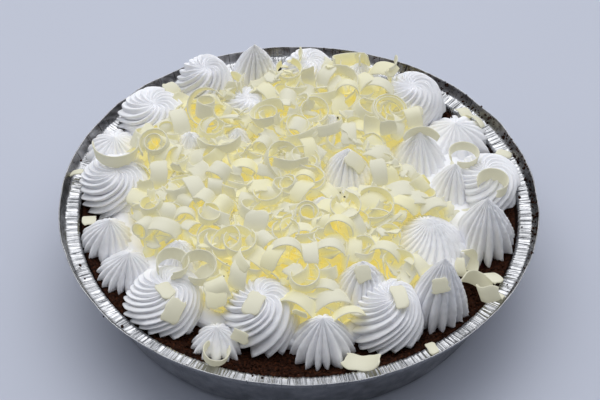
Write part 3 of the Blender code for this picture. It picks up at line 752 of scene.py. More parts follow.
class FoilTin:
    """The crimped foil tin."""

    CRIMP_STEPS = (0.0, 0.18, 0.42, 0.60, 0.80, 0.93)
    CRIMP_CREST = 0.42
    CRIMP_LEAN = 0.0035
    LIP_FOOT = 0.0372
    LIP_RISE = 0.0048
    LIP_SWAY = 0.0005
    LIP_RIPPLE = 0.00012
    # Painted shade on the rows of the lip's inside, from its foot to its top
    LIP_PAINTED_SHADE = (0.35, 0.6, 0.9, 1.0, 1.0, 0.8)
    WALL_COLUMNS = 720
    WALL_ROWS = 22
    FOOT_ROWS = 8
    FOLDS = 30
    FOLD_WIDTH = 0.010
    FOLD_RISE = 0.0004
    CREASE_RISE = 0.00022
    DENT_LIMIT = 0.00015

    def __init__(self, size: TinSize, finish: FoilFinish, seed: int = 5) -> None:
        """Set the tin's sizes.

        Args:
            size: The tin's sizes.
            finish: Its metal.
            seed: Which crimps of the kind to draw.
        """
        self.size = size
        self.material = finish.material()
        self.chance = np.random.default_rng(seed)
        self.noise = Noise(seed)

    def crimps(self) -> tuple[np.ndarray, np.ndarray]:
        """Lay out the columns of the crimped rim.

        Returns:
            The angle of each column, and its share of a crimp's height.
        """
        size = self.size
        count = int(math.tau * size.flange_outer_radius / size.crimp_pitch)
        widths = self.chance.uniform(0.45, 1.55, count)
        edges = np.concatenate(([0.0], np.cumsum(widths)))
        edges = edges / edges[-1] * math.tau
        heights = self.chance.uniform(0.35, 1.15, count)
        base = self.chance.uniform(-0.25, 0.25, count)
        angles = []
        rise = []
        for step in self.CRIMP_STEPS:
            angles.append(edges[:-1] + (edges[1:] - edges[:-1]) * step)
            tent = min(step / self.CRIMP_CREST, (1.0 - step) / (1.0 - self.CRIMP_CREST))
            rise.append(base * (tent > 0.0) + heights * tent)
        return np.stack(angles, -1).ravel(), np.stack(rise, -1).ravel()

    def profile(self) -> tuple[tuple, tuple]:
        """Outline of the rim.

        Returns:
            Rows of its top from the inside out, and of its underside back in again. Each row has its
            radius, its height, its share of the crimps' height and its share of their slant.
        """
        size = self.size
        top = (
            (0.1058, 0.0330, 0.25, 0.0),
            (0.1064, 0.0342, 0.45, 0.0),
            (size.wall_top_radius - 0.0001, 0.0352, 0.70, 0.0),
            (size.flange_inner_radius, size.flange_inner_height + 0.0001, 0.95, 0.0),
            (0.1084, 0.0364, 1.0, 0.15),
            (0.1100, 0.0366, 1.0, 0.4),
            (0.1116, 0.0368, 1.0, 0.7),
            (0.1129, 0.0370, 0.85, 0.9),
            (0.1136, 0.0373, 0.45, 1.0),
            (0.1139, 0.0379, 0.28, 1.0),
            (0.1144, 0.0390, 0.20, 1.0),
            (0.1150, 0.0404, 0.10, 1.0),
            (0.1155, 0.0415, 0.04, 1.0),
            (size.lip_radius - size.foil, size.lip_height - 0.0001, 0.02, 1.0),
        )
        under = (
            (size.lip_radius, size.lip_height, 0.02, 1.0),
            (size.lip_radius + size.foil, size.lip_height - 0.0002, 0.02, 1.0),
            (size.lip_radius + 0.0002, size.lip_height - 0.0006, 0.02, 1.0),
            (0.1156, 0.0409, 0.03, 1.0),
            (0.1150, 0.0395, 0.06, 1.0),
            (0.1144, 0.0382, 0.10, 1.0),
            (0.1141, 0.0372, 0.15, 1.0),
            (0.1138, 0.0366, 0.30, 1.0),
            (0.1128, 0.0363, 0.6, 0.8),
            (0.1100, 0.0360, 0.7, 0.4),
            (0.1080, 0.0356, 0.6, 0.0),
            (size.wall_top_radius + 0.0001, 0.0346, 0.45, 0.0),
        )
        return top, under

    def rim(self) -> bpy.types.Object:
        """Make the flange with its crimps and the lip that stands round it.

        Returns:
            The rim.
        """
        size = self.size
        angles, rise = self.crimps()
        top, under = self.profile()
        rows = np.array(top + under)
        # Painted shade on the lip's inside only
        stained = np.zeros(len(rows))
        stained[len(top) - len(self.LIP_PAINTED_SHADE):len(top)] = self.LIP_PAINTED_SHADE
        radius, height, depth, slant = (rows[:, column][:, None] for column in range(4))
        steps = len(self.CRIMP_STEPS)
        lean = np.repeat(self.chance.normal(0.0, self.CRIMP_LEAN, len(angles) // steps), steps)
        turn = angles[None, :] + lean[None, :] * (slant - 0.5)
        lift = (rise - 0.55)[None, :] * size.crimp_depth * depth
        flat = np.stack([np.cos(turn), np.sin(turn), np.zeros_like(turn)], -1)
        sway = self.noise.at(flat * 3.0, 0.35)
        ripple = self.noise.at(flat * 3.0 + 7.0, 0.06)
        steep = np.clip((height - self.LIP_FOOT) / self.LIP_RISE, 0.0, 1.0)
        radius = radius + (sway * self.LIP_SWAY + ripple * self.LIP_RIPPLE) * steep
        radius = radius + lift * 0.4 * (steep > 0.0)
        height = height + lift * (steep <= 0.0) + sway * 0.0003 * steep
        grid = np.stack([radius * np.cos(turn), radius * np.sin(turn), height + 0.0 * turn], -1)
        # Painted shade: the lip's inside is darkened, most at the back right, for the dark room that it
        # reflects
        side = 0.78 + 0.22 * np.cos(turn - math.radians(40.0))
        stain = stained[:, None] * np.clip(side + 0.25 * ripple, 0.0, 1.0)
        builder = Builder()
        builder.add_grid(grid, wrap=True)
        return builder.piece("tin_rim", self.material, stain=stain.ravel())

    def taper(self) -> np.ndarray:
        """Outline of the wall and the base.

        Returns:
            Rows from the rim down, each with its radius, its height and its share of the dents.
        """
        size = self.size
        top = (size.wall_top_radius + 0.0002, size.wall_top_height + 0.0004)
        foot = (size.wall_foot_radius, size.wall_foot_height)
        rows = []
        for step in range(self.WALL_ROWS):
            share = step / (self.WALL_ROWS - 1.0)
            rows.append((top[0] + (foot[0] - top[0]) * share, top[1] + (foot[1] - top[1]) * share, 1.0))
        for step in range(1, self.FOOT_ROWS + 1):
            angle = step / self.FOOT_ROWS * math.pi / 2.0 * 0.87
            inward = 0.0042 * (1.0 - math.cos(angle))
            down = 0.0052 * math.sin(angle) * 0.77
            rows.append((foot[0] - inward, foot[1] - down, 0.6))
        rows += [(size.base_radius, 0.0, 0.1), (0.0860, 0.0, 0.0), (0.0, 0.0, 0.0)]
        return np.array(rows)

    def wall(self) -> bpy.types.Object:
        """Make the tapering wall, faintly creased and folded, and the base.

        Returns:
            The wall.
        """
        rows = self.taper()
        turn = np.linspace(0.0, math.tau, self.WALL_COLUMNS, endpoint=False)[None, :]
        round_about = np.stack([np.cos(turn), np.sin(turn), 0.0 * turn], -1)
        crease = self.noise.at(round_about * 1.0, 0.016) * 0.6 + self.noise.at(round_about + 3.0, 0.045)
        height = rows[:, 1][:, None]
        fade = np.clip(height / 0.035, 0.0, 1.0) ** 0.8 * rows[:, 2][:, None]
        across_and_back = np.broadcast_to(round_about[..., :2] * 0.1, (len(rows), self.WALL_COLUMNS, 2))
        upward = np.broadcast_to(height[..., None], (len(rows), self.WALL_COLUMNS, 1))
        spots = np.concatenate([across_and_back, upward], -1)
        dents = self.noise.at(spots, 0.009) * 0.00018 + self.noise.at(spots + 1.0, 0.022) * 0.00025
        folds = np.zeros_like(turn)
        for place in self.chance.uniform(0.0, math.tau, self.FOLDS):
            away = np.abs((turn - place + math.pi) % math.tau - math.pi)
            folds = folds + np.exp(-(away / self.FOLD_WIDTH) ** 2)
        relief = (crease * self.CREASE_RISE + folds * self.FOLD_RISE) * fade + dents * rows[:, 2][:, None]
        radius = rows[:, 0][:, None] + np.maximum(relief, -self.DENT_LIMIT)
        grid = np.stack([radius * np.cos(turn), radius * np.sin(turn), height + 0.0 * turn], -1)
        # Dull patches, partly real and partly painted shade: the right side and the lower wall are darkened
        # for the shadowed table that they reflect
        patches = self.noise.at(spots + 2.0, 0.0028) * 0.5 + self.noise.at(spots + 3.0, 0.0060) * 0.5
        lower = np.clip((0.0350 - height) / 0.0100, 0.15, 1.0)
        stain = np.clip(0.18 + 0.35 * np.cos(turn) + 0.45 * patches, 0.0, 1.0) * lower
        builder = Builder()
        builder.add_grid(grid, wrap=True, flip=True)
        return builder.piece("tin_wall", self.material, stain=stain.ravel())

    def build(self) -> list[bpy.types.Object]:
        """Make the tin's pieces.

        Returns:
            The rim and the wall.
        """
        made = [self.rim(), self.wall()]
        for piece in made:
            ready(piece, Slot.FOIL, "foil_tin")
        return made


def ready(piece: bpy.types.Object, slot: Slot, *nodes: str) -> None:
    """Let a piece ride on the pie in place of its CAD nodes.

    Args:
        piece: The piece.
        slot: The record's slot of its finish. It is not used.
        nodes: The nodes it stands for.
    """
    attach(piece, "root")
    if nodes:
        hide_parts(*nodes)
    LOG.info("%s: %d faces", piece.name, len(piece.data.polygons))


class Grains:
    """Small uneven lumps such as crumbs, all in one mesh."""

    RINGS = 4
    SIDES = 6
    END_FACES = np.array([[0, 1, 2, 3], [0, 3, 4, 5]])

    def __init__(self, seed: int) -> None:
        """Start with no lumps.

        Args:
            seed: Which lumps of the kind to draw.
        """
        self.builder = Builder()
        self.chance = np.random.default_rng(seed)

    def add(self, place: np.ndarray, size: float) -> None:
        """Add one lump.

        Args:
            place: Its middle.
            size: Its mean width.
        """
        rings = np.linspace(0.15, math.pi - 0.15, self.RINGS)[:, None]
        sides = np.linspace(0.0, math.tau, self.SIDES, endpoint=False)[None, :]
        level = np.cos(rings) + 0.0 * sides
        ball = np.stack([np.sin(rings) * np.cos(sides), np.sin(rings) * np.sin(sides), level], -1)
        ball = ball * self.chance.uniform(0.7, 1.3, ball.shape[:2])[..., None]
        ball = ball * self.chance.uniform(0.6, 1.2, 3) * size / 2.0
        turn = np.array(Matrix.Rotation(self.chance.uniform(0.0, math.tau), 3, "Z")
                        @ Matrix.Rotation(self.chance.uniform(0.0, math.tau), 3, "X"))
        self.builder.add_grid(ball @ turn.T + place, wrap=True, flip=True)
        for row in (0, -1):
            self.builder.add_solid(ball[row] @ turn.T + place, self.END_FACES)


class CrumbCrust:
    """The crumb crust's rim, its grains and the filling inside it."""

    COLUMNS = 1300
    TOP_ROWS = 44
    CRUMBS = 3600
    LIP_CRUMBS = 230
    LIP_BEARING = 24.0
    LIP_SPREAD = 26.0
    GAP_RADIUS = 0.0958
    GAP_BEARING = -22.0
    GAP_SPREAD = 4.0

    def __init__(self, size: FillSize, crumb: CrumbFinish, velvet: VelvetFinish) -> None:
        """Set the crust's sizes.

        Args:
            size: Its sizes.
            crumb: The crust's finish.
            velvet: The filling's finish.
        """
        self.size = size
        self.crumb = crumb.material()
        self.velvet = velvet.material()
        self.noise = Noise(31)
        self.chance = np.random.default_rng(32)

    def ring(self, rows: np.ndarray, relief: float) -> np.ndarray:
        """A turned surface with crumbly relief.

        Args:
            rows: Radius, height and share of the relief of each row.
            relief: Height of the lumps.

        Returns:
            The grid of points.
        """
        turn = np.linspace(0.0, math.tau, self.COLUMNS, endpoint=False)[None, :]
        radius = rows[:, 0][:, None]
        height = rows[:, 1][:, None] + 0.0 * turn
        places = np.stack([radius * np.cos(turn), radius * np.sin(turn), height], -1)
        lumps = (self.noise.at(places, 0.0011) * 0.9 + self.noise.at(places + 1.0, 0.0026) * 0.9
                 + self.noise.at(places + 2.0, 0.008) * 0.8)
        places[..., 2] += lumps * relief * rows[:, 2][:, None]
        return places

    def gap(self, places: np.ndarray) -> np.ndarray:
        """How far the crumb is away from the filling, which shows at one bearing.

        Args:
            places: Places on the crust.

        Returns:
            A share from 0 to 1 at each place.
        """
        bearing = np.degrees(np.arctan2(places[..., 1], places[..., 0]))
        return np.exp(-((bearing - self.GAP_BEARING) / self.GAP_SPREAD) ** 2)

    def body(self) -> bpy.types.Object:
        """Make the crust, from under the cream over its crumbly top to its foot.

        Returns:
            The crust.
        """
        size = self.size
        reach = np.linspace(size.crust_spread_radius, size.crust_crest_radius, self.TOP_ROWS)
        inside = [(0.0740, 0.0065, 0.0), (size.crust_spread_radius - 0.001, 0.0280, 0.0)]
        top = [(radius, float(size.ground(np.array(radius))) - 0.0002, 1.0) for radius in reach]
        outside = [
            (0.1054, 0.0338, 0.9),
            (size.crust_top_radius, 0.0330, 0.5),
            (0.1046, 0.0300, 0.1),
            (0.0975, 0.0048, 0.0),
            (0.0940, 0.0008, 0.0),
            (0.0, 0.0008, 0.0),
        ]
        grid = self.ring(np.array(inside + top + outside), 0.0005)
        radius = np.maximum(np.hypot(grid[..., 0], grid[..., 1]), 1e-6)
        gap = self.gap(grid) * (grid[..., 2] > 0.006)
        wanted = radius + np.maximum(self.GAP_RADIUS - radius, 0.0) * gap
        grid[..., :2] *= (wanted / radius)[..., None]
        builder = Builder()
        builder.add_grid(grid, wrap=True)
        return builder.piece("crust_body", self.crumb)

    def crumbs(self) -> bpy.types.Object:
        """Make the loose crumbs on the crust, on the foil and in the lip's corner.

        Returns:
            The crumbs.
        """
        size = self.size
        grains = Grains(33)
        for _ in range(self.CRUMBS):
            radius = self.chance.uniform(size.crust_spread_radius + 0.004, size.crust_top_radius - 0.0011)
            angle = self.chance.uniform(0.0, math.tau)
            height = float(size.ground(np.array(radius))) - 0.0001
            place = np.array((radius * math.cos(angle), radius * math.sin(angle), height))
            if radius > self.GAP_RADIUS or self.gap(place) < 0.2:
                grains.add(place, self.chance.uniform(0.0006, 0.0018))
        for across, back, height, width in SCATTERED:
            grains.add(np.array((across, back, height)) * MM, width * MM)
        for _ in range(self.LIP_CRUMBS):
            angle = math.radians(self.chance.normal(self.LIP_BEARING, self.LIP_SPREAD))
            radius = self.chance.uniform(0.1132, 0.1157)
            height = 0.0376 + max(radius - TIN.flange_outer_radius, 0.0) * 2.2
            place = np.array((radius * math.cos(angle), radius * math.sin(angle), height))
            grains.add(place, self.chance.uniform(0.0005, 0.0014))
        return grains.builder.piece("crust_crumbs", self.crumb, smooth=False)

    def filling(self) -> bpy.types.Object:
        """Make the filling.

        Returns:
            The filling.
        """
        level = self.size.filling_height - 0.0016
        rows = [(0.0, level, 0.3)]
        rows += [(radius, level, 0.6) for radius in np.linspace(0.070, 0.0940, 20)]
        rows += [(0.0947, level - 0.0008, 0.3), (0.0900, 0.0069, 0.0), (0.0, 0.0069, 0.0)]
        builder = Builder()
        builder.add_grid(self.ring(np.array(rows), 0.0003), wrap=True)
        return builder.piece("filling_body", self.velvet)

    def build(self) -> list[bpy.types.Object]:
        """Make the crust, its crumbs and the filling.

        Returns:
            The three pieces.
        """
        crust = self.body()
        ready(crust, Slot.CRUMB, "crust")
        crumbs = self.crumbs()
        ready(crumbs, Slot.CRUMB, "crust")
        filling = self.filling()
        ready(filling, Slot.VELVET, "filling")
        return [crust, crumbs, filling]


class Ground:
    """Height of whatever has been laid so far, over the pie in plan."""

    STEP = 0.0008
    HALF = 0.120
    NEAR = 4
    DEEPEST = 0.009

    def __init__(self, size: FillSize) -> None:
        """Start with the bare filling, crust and flange.

        Args:
            size: Sizes of the crust and the filling.
        """
        self.side = int(2.0 * self.HALF / self.STEP)
        centres = (np.arange(self.side) + 0.5) * self.STEP - self.HALF
        across, back = np.meshgrid(centres, centres, indexing="ij")
        radius = np.hypot(across, back)
        self.height = size.ground(radius)
        self.height = np.where(radius > 0.1066, 0.0370, self.height)
        self.height = np.where(radius > 0.1165, 0.0, self.height)

    def cells(self, points: np.ndarray) -> tuple[np.ndarray, np.ndarray]:
        """Which cells some points lie over.

        Args:
            points: The points.

        Returns:
            The cells' places across and back.
        """
        index = np.floor((points[:, :2] + self.HALF) / self.STEP).astype(int)
        index = np.clip(index, 0, self.side - 1)
        return index[:, 0], index[:, 1]

    def add(self, points: np.ndarray) -> None:
        """Raise the ground to some points."""
        np.maximum.at(self.height, self.cells(points), points[:, 2])

    def depth(self, points: np.ndarray) -> np.ndarray:
        """How deep points lie under the tops round about.

        Args:
            points: The points.

        Returns:
            0 at the tops, and 1 at the deepest.
        """
        reach = self.NEAR
        padded = np.pad(self.height, reach, mode="edge")
        total = np.zeros_like(self.height)
        for across in range(2 * reach + 1):
            for back in range(2 * reach + 1):
                total += padded[across:across + self.side, back:back + self.side]
        level = total / (2 * reach + 1) ** 2
        return np.clip((level[self.cells(points)] + 0.0005 - points[:, 2]) / self.DEEPEST, 0.0, 1.0)

    def slope(self, spot: np.ndarray) -> np.ndarray:
        """The way the ground looks at a spot, smoothed over its ribs.

        Args:
            spot: The spot in plan.

        Returns:
            The ground's normal.
        """
        across, back = self.cells(np.array([[spot[0], spot[1], 0.0]]))
        reach = self.NEAR
        near = self.height[across[0] - reach:across[0] + reach + 1, back[0] - reach:back[0] + reach + 1]
        line = np.arange(-reach, reach + 1) * self.STEP
        spread = float((line ** 2).sum()) * (2 * reach + 1)
        rise_across = float((near * line[:, None]).sum()) / spread
        rise_back = float((near * line[None, :]).sum()) / spread
        normal = np.array((-rise_across, -rise_back, 1.0))
        return normal / np.linalg.norm(normal)

    def rise(self, points: np.ndarray, share: float) -> float:
        """How far points must be lifted to lie on the ground."""
        gaps = self.height[self.cells(points)] - points[:, 2]
        return float(np.quantile(gaps, share))


class PipedCream:
    """The dollops of piped cream."""

    LIFT = {STAR: 1.25, ROSETTE: 0.80}
    TAPER = {STAR: 1.6, ROSETTE: 0.85}
    ROUNDNESS = {STAR: 0.55, ROSETTE: 0.45}
    GROOVE = {STAR: 0.25, ROSETTE: 0.75}
    RIB_DEPTH = 0.16
    FOOT_DEPTH = 0.26
    STAR_DEPTH = 1.35
    UNEVEN = 0.055
    TWIST = 2.2
    SOFTNESS = 0.0005
    COLUMNS_PER_RIB = 8
    ROWS = 58
    HIDDEN_FINE = 0.6
    NEIGHBOURS_WITHIN = 0.045
    # Dollops at these bearings spread over the flange, the others stay inside it
    SPILLED = (118.0, 166.0)
    SPILLED_EDGE = (0.1118, 0.1134)
    INNER_EDGE = (0.1064, 0.1098)
    BED_RADIUS = 0.088
    BED_HEIGHT = 0.0370
    BED_FALL = 0.0068

    def __init__(self, fill: FillSize, finish: CreamFinish) -> None:
        """Set what the cream stands on.

        Args:
            fill: Sizes of the crust and the filling.
            finish: The cream's finish.
        """
        self.fill = fill
        self.material = finish.material()
        self.noise = Noise(41)

    def ribs(self, dollop: Dollop, around: np.ndarray, climb: np.ndarray,
             chance: np.random.Generator) -> np.ndarray:
        """How far the ribs stand out.

        Args:
            dollop: The dollop.
            around: Angle round the dollop, without its twist.
            climb: Share of the way from its foot to its peak.
            chance: The dollop's own chances.

        Returns:
            A share of the dollop's width at each point.
        """
        drift = chance.uniform(0.0, math.tau, 3)
        uneven = sum(self.UNEVEN / order * np.sin(around * (order + 2) + drift[order - 1])
                     for order in (1, 2, 3))
        spread = around + uneven
        phase = spread * dollop.ribs / 2.0
        which = np.floor(spread * dollop.ribs / math.tau + 0.5).astype(int) % dollop.ribs
        if dollop.piping is ROSETTE:
            phase = phase + 0.30 * np.sin(2.0 * phase)
        crest = np.abs(np.cos(phase))
        rounded = crest ** self.ROUNDNESS[dollop.piping]
        pointed = 1.0 - np.arccos(np.clip(crest, 0.0, 1.0)) / (math.pi / 2.0)
        foot = np.clip(1.0 - climb / 0.30, 0.0, 1.0) ** 1.5
        depth = self.RIB_DEPTH + self.FOOT_DEPTH * foot
        if dollop.piping is ROSETTE:
            depth = depth * (1.0 - 0.20 * np.clip((climb - 0.55) / 0.40, 0.0, 1.0))
        else:
            depth = depth * self.STAR_DEPTH * (1.0 - 0.25 * np.clip((climb - 0.30) / 0.40, 0.0, 1.0))
            depth = depth * (1.0 - 0.70 * np.clip((climb - 0.75) / 0.22, 0.0, 1.0))
        depth = depth * chance.uniform(0.70, 1.25, dollop.ribs)[which]
        shape = rounded * (1.0 - 0.55 * foot) + pointed * 0.55 * foot
        longer = chance.uniform(-0.04, 0.04, dollop.ribs)[which] * (0.4 + foot)
        return 1.0 + 0.05 + 0.05 * foot + longer * crest - depth * (1.0 - shape)

    def limits(self, dollop: Dollop, axis: np.ndarray, direction: np.ndarray, climb: np.ndarray,
               others: tuple) -> np.ndarray:
        """How far the dollop may reach before its neighbours and the tin.

        Args:
            dollop: The dollop.
            axis: Its middle at each point's height, in plan.
            direction: The way from the middle to each point.
            climb: Share of the way from its foot to its peak.
            others: Its neighbours.

        Returns:
            The distance at each point.
        """
        limit = np.full(direction.shape[:2], 1.0)
        for other in others:
            apart = other.middle - dollop.middle
            distance = float(np.hypot(*apart))
            if distance > self.NEIGHBOURS_WITHIN:
                continue
            toward = apart / distance
            cosine = np.maximum(direction @ toward, 0.02)
            radii = ((dollop.radius * MM) ** 2 - (other.radius * MM) ** 2) / (2.0 * distance)
            border = distance / 2.0 + radii + 0.0001
            room = (border - (axis - dollop.middle) @ toward) / cosine
            limit = np.minimum(limit, np.where(direction @ toward > 0.02, room, 1.0))
        spilled = self.SPILLED[0] < dollop.bearing < self.SPILLED[1]
        foot_edge, edge_above = self.SPILLED_EDGE if spilled else self.INNER_EDGE
        edge = np.where(climb < 0.22, foot_edge, edge_above)
        along = np.sum(axis * direction, -1)
        outer = -along + np.sqrt(np.maximum(along ** 2 + edge ** 2 - np.sum(axis ** 2, -1), 0.0))
        return np.minimum(limit, outer)

    def surface(self, dollop: Dollop, others: tuple, fine: float = 1.0) -> np.ndarray:
        """Work out the points of one dollop.

        Args:
            dollop: The dollop.
            others: Its neighbours.
            fine: Share of the full number of points.

        Returns:
            The points as rows from its foot to its peak, columns, and x, y and z.
        """
        seed = int(dollop.bearing * 7 + dollop.reach * 13)
        chance = np.random.default_rng(seed)
        columns = dollop.ribs * max(4, int(self.COLUMNS_PER_RIB * fine))
        rows = int(self.ROWS * fine)
        climb = np.linspace(0.0, 1.0, rows)[:, None]
        around = np.linspace(0.0, math.tau, columns, endpoint=False)[None, :]
        angle = climb * math.pi / 2.0
        level = np.sin(angle) ** self.LIFT[dollop.piping]
        width = np.cos(angle) ** self.TAPER[dollop.piping]
        if dollop.piping is ROSETTE:
            twist = self.TWIST * (0.5 * (1.0 - width) + 0.65 * level)
            level = level - 0.13 * np.exp(-(width / 0.30) ** 2)
        else:
            twist = chance.uniform(-0.12, 0.12) * level + dollop.swirl * (1.0 - width)
            level = level * (1.0 - 0.03) + 0.03 * np.clip(1.0 - width / 0.12, 0.0, 1.0)
        turn = around + twist + chance.uniform(0.0, math.tau)
        direction = np.stack([np.cos(turn), np.sin(turn)], -1)
        lean = np.array((dollop.lean_right, dollop.lean_back)) * MM
        axis = dollop.middle + (level ** 1.5)[..., None] * lean
        axis = np.broadcast_to(axis, direction.shape)
        share = self.ribs(dollop, around + 0.0 * climb, climb + 0.0 * around, chance)
        groove = np.clip(1.06 - share, 0.0, 0.30) * np.clip(width / 0.30, 0.0, 1.0)
        groove = groove * np.clip((climb - 0.25) / 0.35, 0.0, 1.0)
        reach = dollop.radius * MM * width * share
        limit = self.limits(dollop, axis, direction, climb + 0.0 * around, others)
        soft = self.SOFTNESS
        reach = -soft * np.logaddexp(-reach / soft, -limit / soft)
        reach = np.maximum(reach, 0.00001)
        plan = axis + direction * reach[..., None]
        foot = self.fill.ground(np.hypot(plan[..., 0], plan[..., 1]))
        top = self.fill.filling_height + 0.0003 + dollop.height * MM
        height = foot - 0.0002 + (top - foot) * (level - self.GROOVE[dollop.piping] * groove)
        points = np.concatenate([plan, height[..., None]], -1)
        wobble = self.noise.at(points, 0.006) * 0.0003 + self.noise.at(points + 1.0, 0.0016) * 0.00010
        if dollop.rough:
            facing = np.clip(direction @ np.array((0.8, -0.2)) + 0.15, 0.0, 1.0)
            wobble = wobble + self.noise.at(points + 2.0, 0.0007) * 0.00045 * dollop.rough * facing
        points[..., :2] += direction * (wobble * np.clip(width * 3.0, 0.0, 1.0))[..., None]
        points[..., 2] += wobble * level
        return points

    def dollop(self, dollop: Dollop, others: tuple, ground: Ground, fine: float = 1.0) -> bpy.types.Object:
        """Make one dollop and lay it on the ground map.

        Args:
            dollop: The dollop.
            others: Its neighbours.
            ground: Height of what has been laid so far.
            fine: Share of the full number of points.

        Returns:
            The dollop's piece.
        """
        points = self.surface(dollop, others, fine)
        ground.add(points.reshape(-1, 3))
        builder = Builder()
        builder.add_grid(points, wrap=True)
        foot = np.broadcast_to(points[0].mean(axis=0), points[0].shape)
        builder.add_grid(np.stack([foot, points[0]]), wrap=True)
        return builder.piece(f"{dollop.name}_piped", self.material)

    def filler(self) -> bpy.types.Object:
        """Make the cream that closes the gaps between the dollops.

        Returns:
            The piece.
        """
        turn = np.linspace(0.0, math.tau, 240, endpoint=False)[None, :]
        share = np.linspace(0.0, 1.0, 60)[:, None]
        way = np.stack([np.cos(turn), np.sin(turn), 0.0 * turn], -1)
        edge = self.BED_RADIUS + self.noise.at(way, 0.25) * 0.003
        radius = edge * np.minimum(share / 0.93, 1.0)
        height = self.BED_HEIGHT - self.BED_FALL * np.clip((share - 0.86) / 0.14, 0.0, 1.0) ** 1.5
        points = np.stack([radius * np.cos(turn), radius * np.sin(turn), height + 0.0 * turn], -1)
        relief = self.noise.at(points, 0.006) * 0.0009 + self.noise.at(points + 1.0, 0.002) * 0.0004
        points[..., 2] += relief
        builder = Builder()
        builder.add_grid(points, wrap=True)
        piece = builder.piece("cream_between", self.material)
        ready(piece, Slot.CREAM, "curls_heap")
        return piece

    def build(self, ground: Ground) -> list[bpy.types.Object]:
        """Pipe all the dollops.

        Args:
            ground: Height of what has been laid so far, which the cream raises.

        Returns:
            The pieces.
        """
        made = []
        for dollop in DOLLOPS:
            others = tuple(other for other in DOLLOPS if other is not dollop)
            piece = self.dollop(dollop, others, ground)
            ready(piece, Slot.CREAM, dollop.name)
            made.append(piece)
        made.append(self.filler())
        for dollop in UNDER_HEAP:
            others = tuple(other for other in DOLLOPS + UNDER_HEAP if other is not dollop)
            piece = self.dollop(dollop, others, ground, self.HIDDEN_FINE)
            ready(piece, Slot.CREAM, "curls_heap")
            made.append(piece)
        return made


@dataclass
class CurlForm:
    """Shape of one shaved curl in its own axes, its roll about +Z."""

    # Places across the strip, the ones at its edges on both faces, and its thickness at each place
    SIDES = (0.0, 0.05, 0.34, 0.66, 0.95, 1.0)
    EDGES = (0, 5, 6, 11)
    THIN = (0.40, 1.0, 1.0, 1.0, 1.0, 0.40)
    DENSE = 160

    radius: float
    loosen: float
    sweep: float
    width: float
    thickness: float = 0.00065
    cone: float = 0.0
    ragged: float = 0.10
    cup: float = 0.0
    seed: int = 0
    chance: np.random.Generator = field(init=False)

    def __post_init__(self) -> None:
        """Draw the curl's own chances."""
        self.chance = np.random.default_rng(self.seed)

    def midline(self, share: np.ndarray) -> tuple[np.ndarray, np.ndarray]:
        """Points along the curl and the way its outer face looks.

        Args:
            share: Places along its length, 0 and 1 at its ends.

        Returns:
            The points and the outward directions, both in plan.
        """
        steps = np.linspace(-0.2, 1.2, self.DENSE)
        bend = self.radius * (1.0 + self.loosen * steps)
        turn = (steps - 0.5) * self.sweep
        heading = np.stack([-np.sin(turn), np.cos(turn)], -1)
        moves = heading * (bend * self.sweep * (steps[1] - steps[0]))[:, None]
        line = np.concatenate([[[0.0, 0.0]], np.cumsum((moves[1:] + moves[:-1]) / 2.0, axis=0)])
        line = line - line[(steps >= 0.0) & (steps <= 1.0)].mean(axis=0)
        places = np.stack([np.interp(share, steps, line[:, axis]) for axis in (0, 1)], -1)
        angle = (share - 0.5) * self.sweep
        return places, np.stack([np.cos(angle), np.sin(angle)], -1)

    def body(self, along: int) -> tuple[np.ndarray, np.ndarray]:
        """Points and faces of the closed strip.

        Args:
            along: Points along its length.

        Returns:
            The points, and four-sided faces as places in them.
        """
        share = np.concatenate([[0.0, 0.012], np.linspace(0.06, 0.94, along - 4), [0.988, 1.0]])
        side = np.array(self.SIDES)
        across = len(side)
        length = self.radius * (1.0 + self.loosen / 2.0) * self.sweep
        jag = self.chance.uniform(-0.5, 1.0, (2, across)) * self.ragged * self.width / length
        near_end = np.abs(2.0 * share - 1.0) ** 4
        reach = np.where(share[:, None] > 0.5, jag[0], -jag[1]) * near_end[:, None]
        places, outward = self.midline(share[:, None] + reach)
        wave = self.chance.uniform(-1.0, 1.0, (2, 6)) * self.ragged
        edges = [np.interp(share, np.linspace(0.0, 1.0, 6), row) for row in wave]
        taper = 1.0 - 0.30 * near_end ** 2
        low = -self.width / 2.0 * taper * (1.0 + edges[0])
        high = self.width / 2.0 * taper * (1.0 + edges[1])
        slip = self.chance.uniform(-0.12, 0.12) * self.width * (2.0 * share - 1.0)
        rise = low[:, None] + (high - low)[:, None] * side[None, :] + slip[:, None]
        half = self.thickness / 2.0 * np.array(self.THIN)[None, :] * np.ones((along, 1))
        half[[0, -1]] *= 0.45
        flare = 1.0 + self.cone * (2.0 * side - 1.0)
        bow = self.cup * (2.0 * side - 1.0) ** 2
        middle = places * flare[None, :, None] + outward * bow[None, :, None]
        outer = np.concatenate([middle + outward * half[..., None], rise[..., None]], -1)
        inner = np.concatenate([middle - outward * half[..., None], rise[..., None]], -1)
        ring = np.concatenate([outer, inner[:, ::-1]], axis=1)
        round_count = 2 * across
        index = np.arange(along * round_count).reshape(along, round_count)
        after = np.roll(index, -1, axis=1)
        faces = [np.stack([index[:-1], after[:-1], after[1:], index[1:]], -1).reshape(-1, 4)]
        for row, flip in ((0, True), (along - 1, False)):
            near = index[row, :across - 1]
            far = index[row, ::-1][:across - 1]
            cap = np.stack([near, index[row, 1:across], index[row, ::-1][1:across], far], -1)
            faces.append(cap[:, ::-1] if flip else cap)
        return ring.reshape(-1, 3), np.concatenate(faces)


def turn_matrix(heading: float, tilt: float, roll: float) -> np.ndarray:
    """Tilt and roll about the two level axes, then turn to the heading, in radians."""
    turn = Matrix.Rotation(heading, 3, "Z") @ Matrix.Rotation(roll, 3, "Y") @ Matrix.Rotation(tilt, 3, "X")
    return np.array(turn)


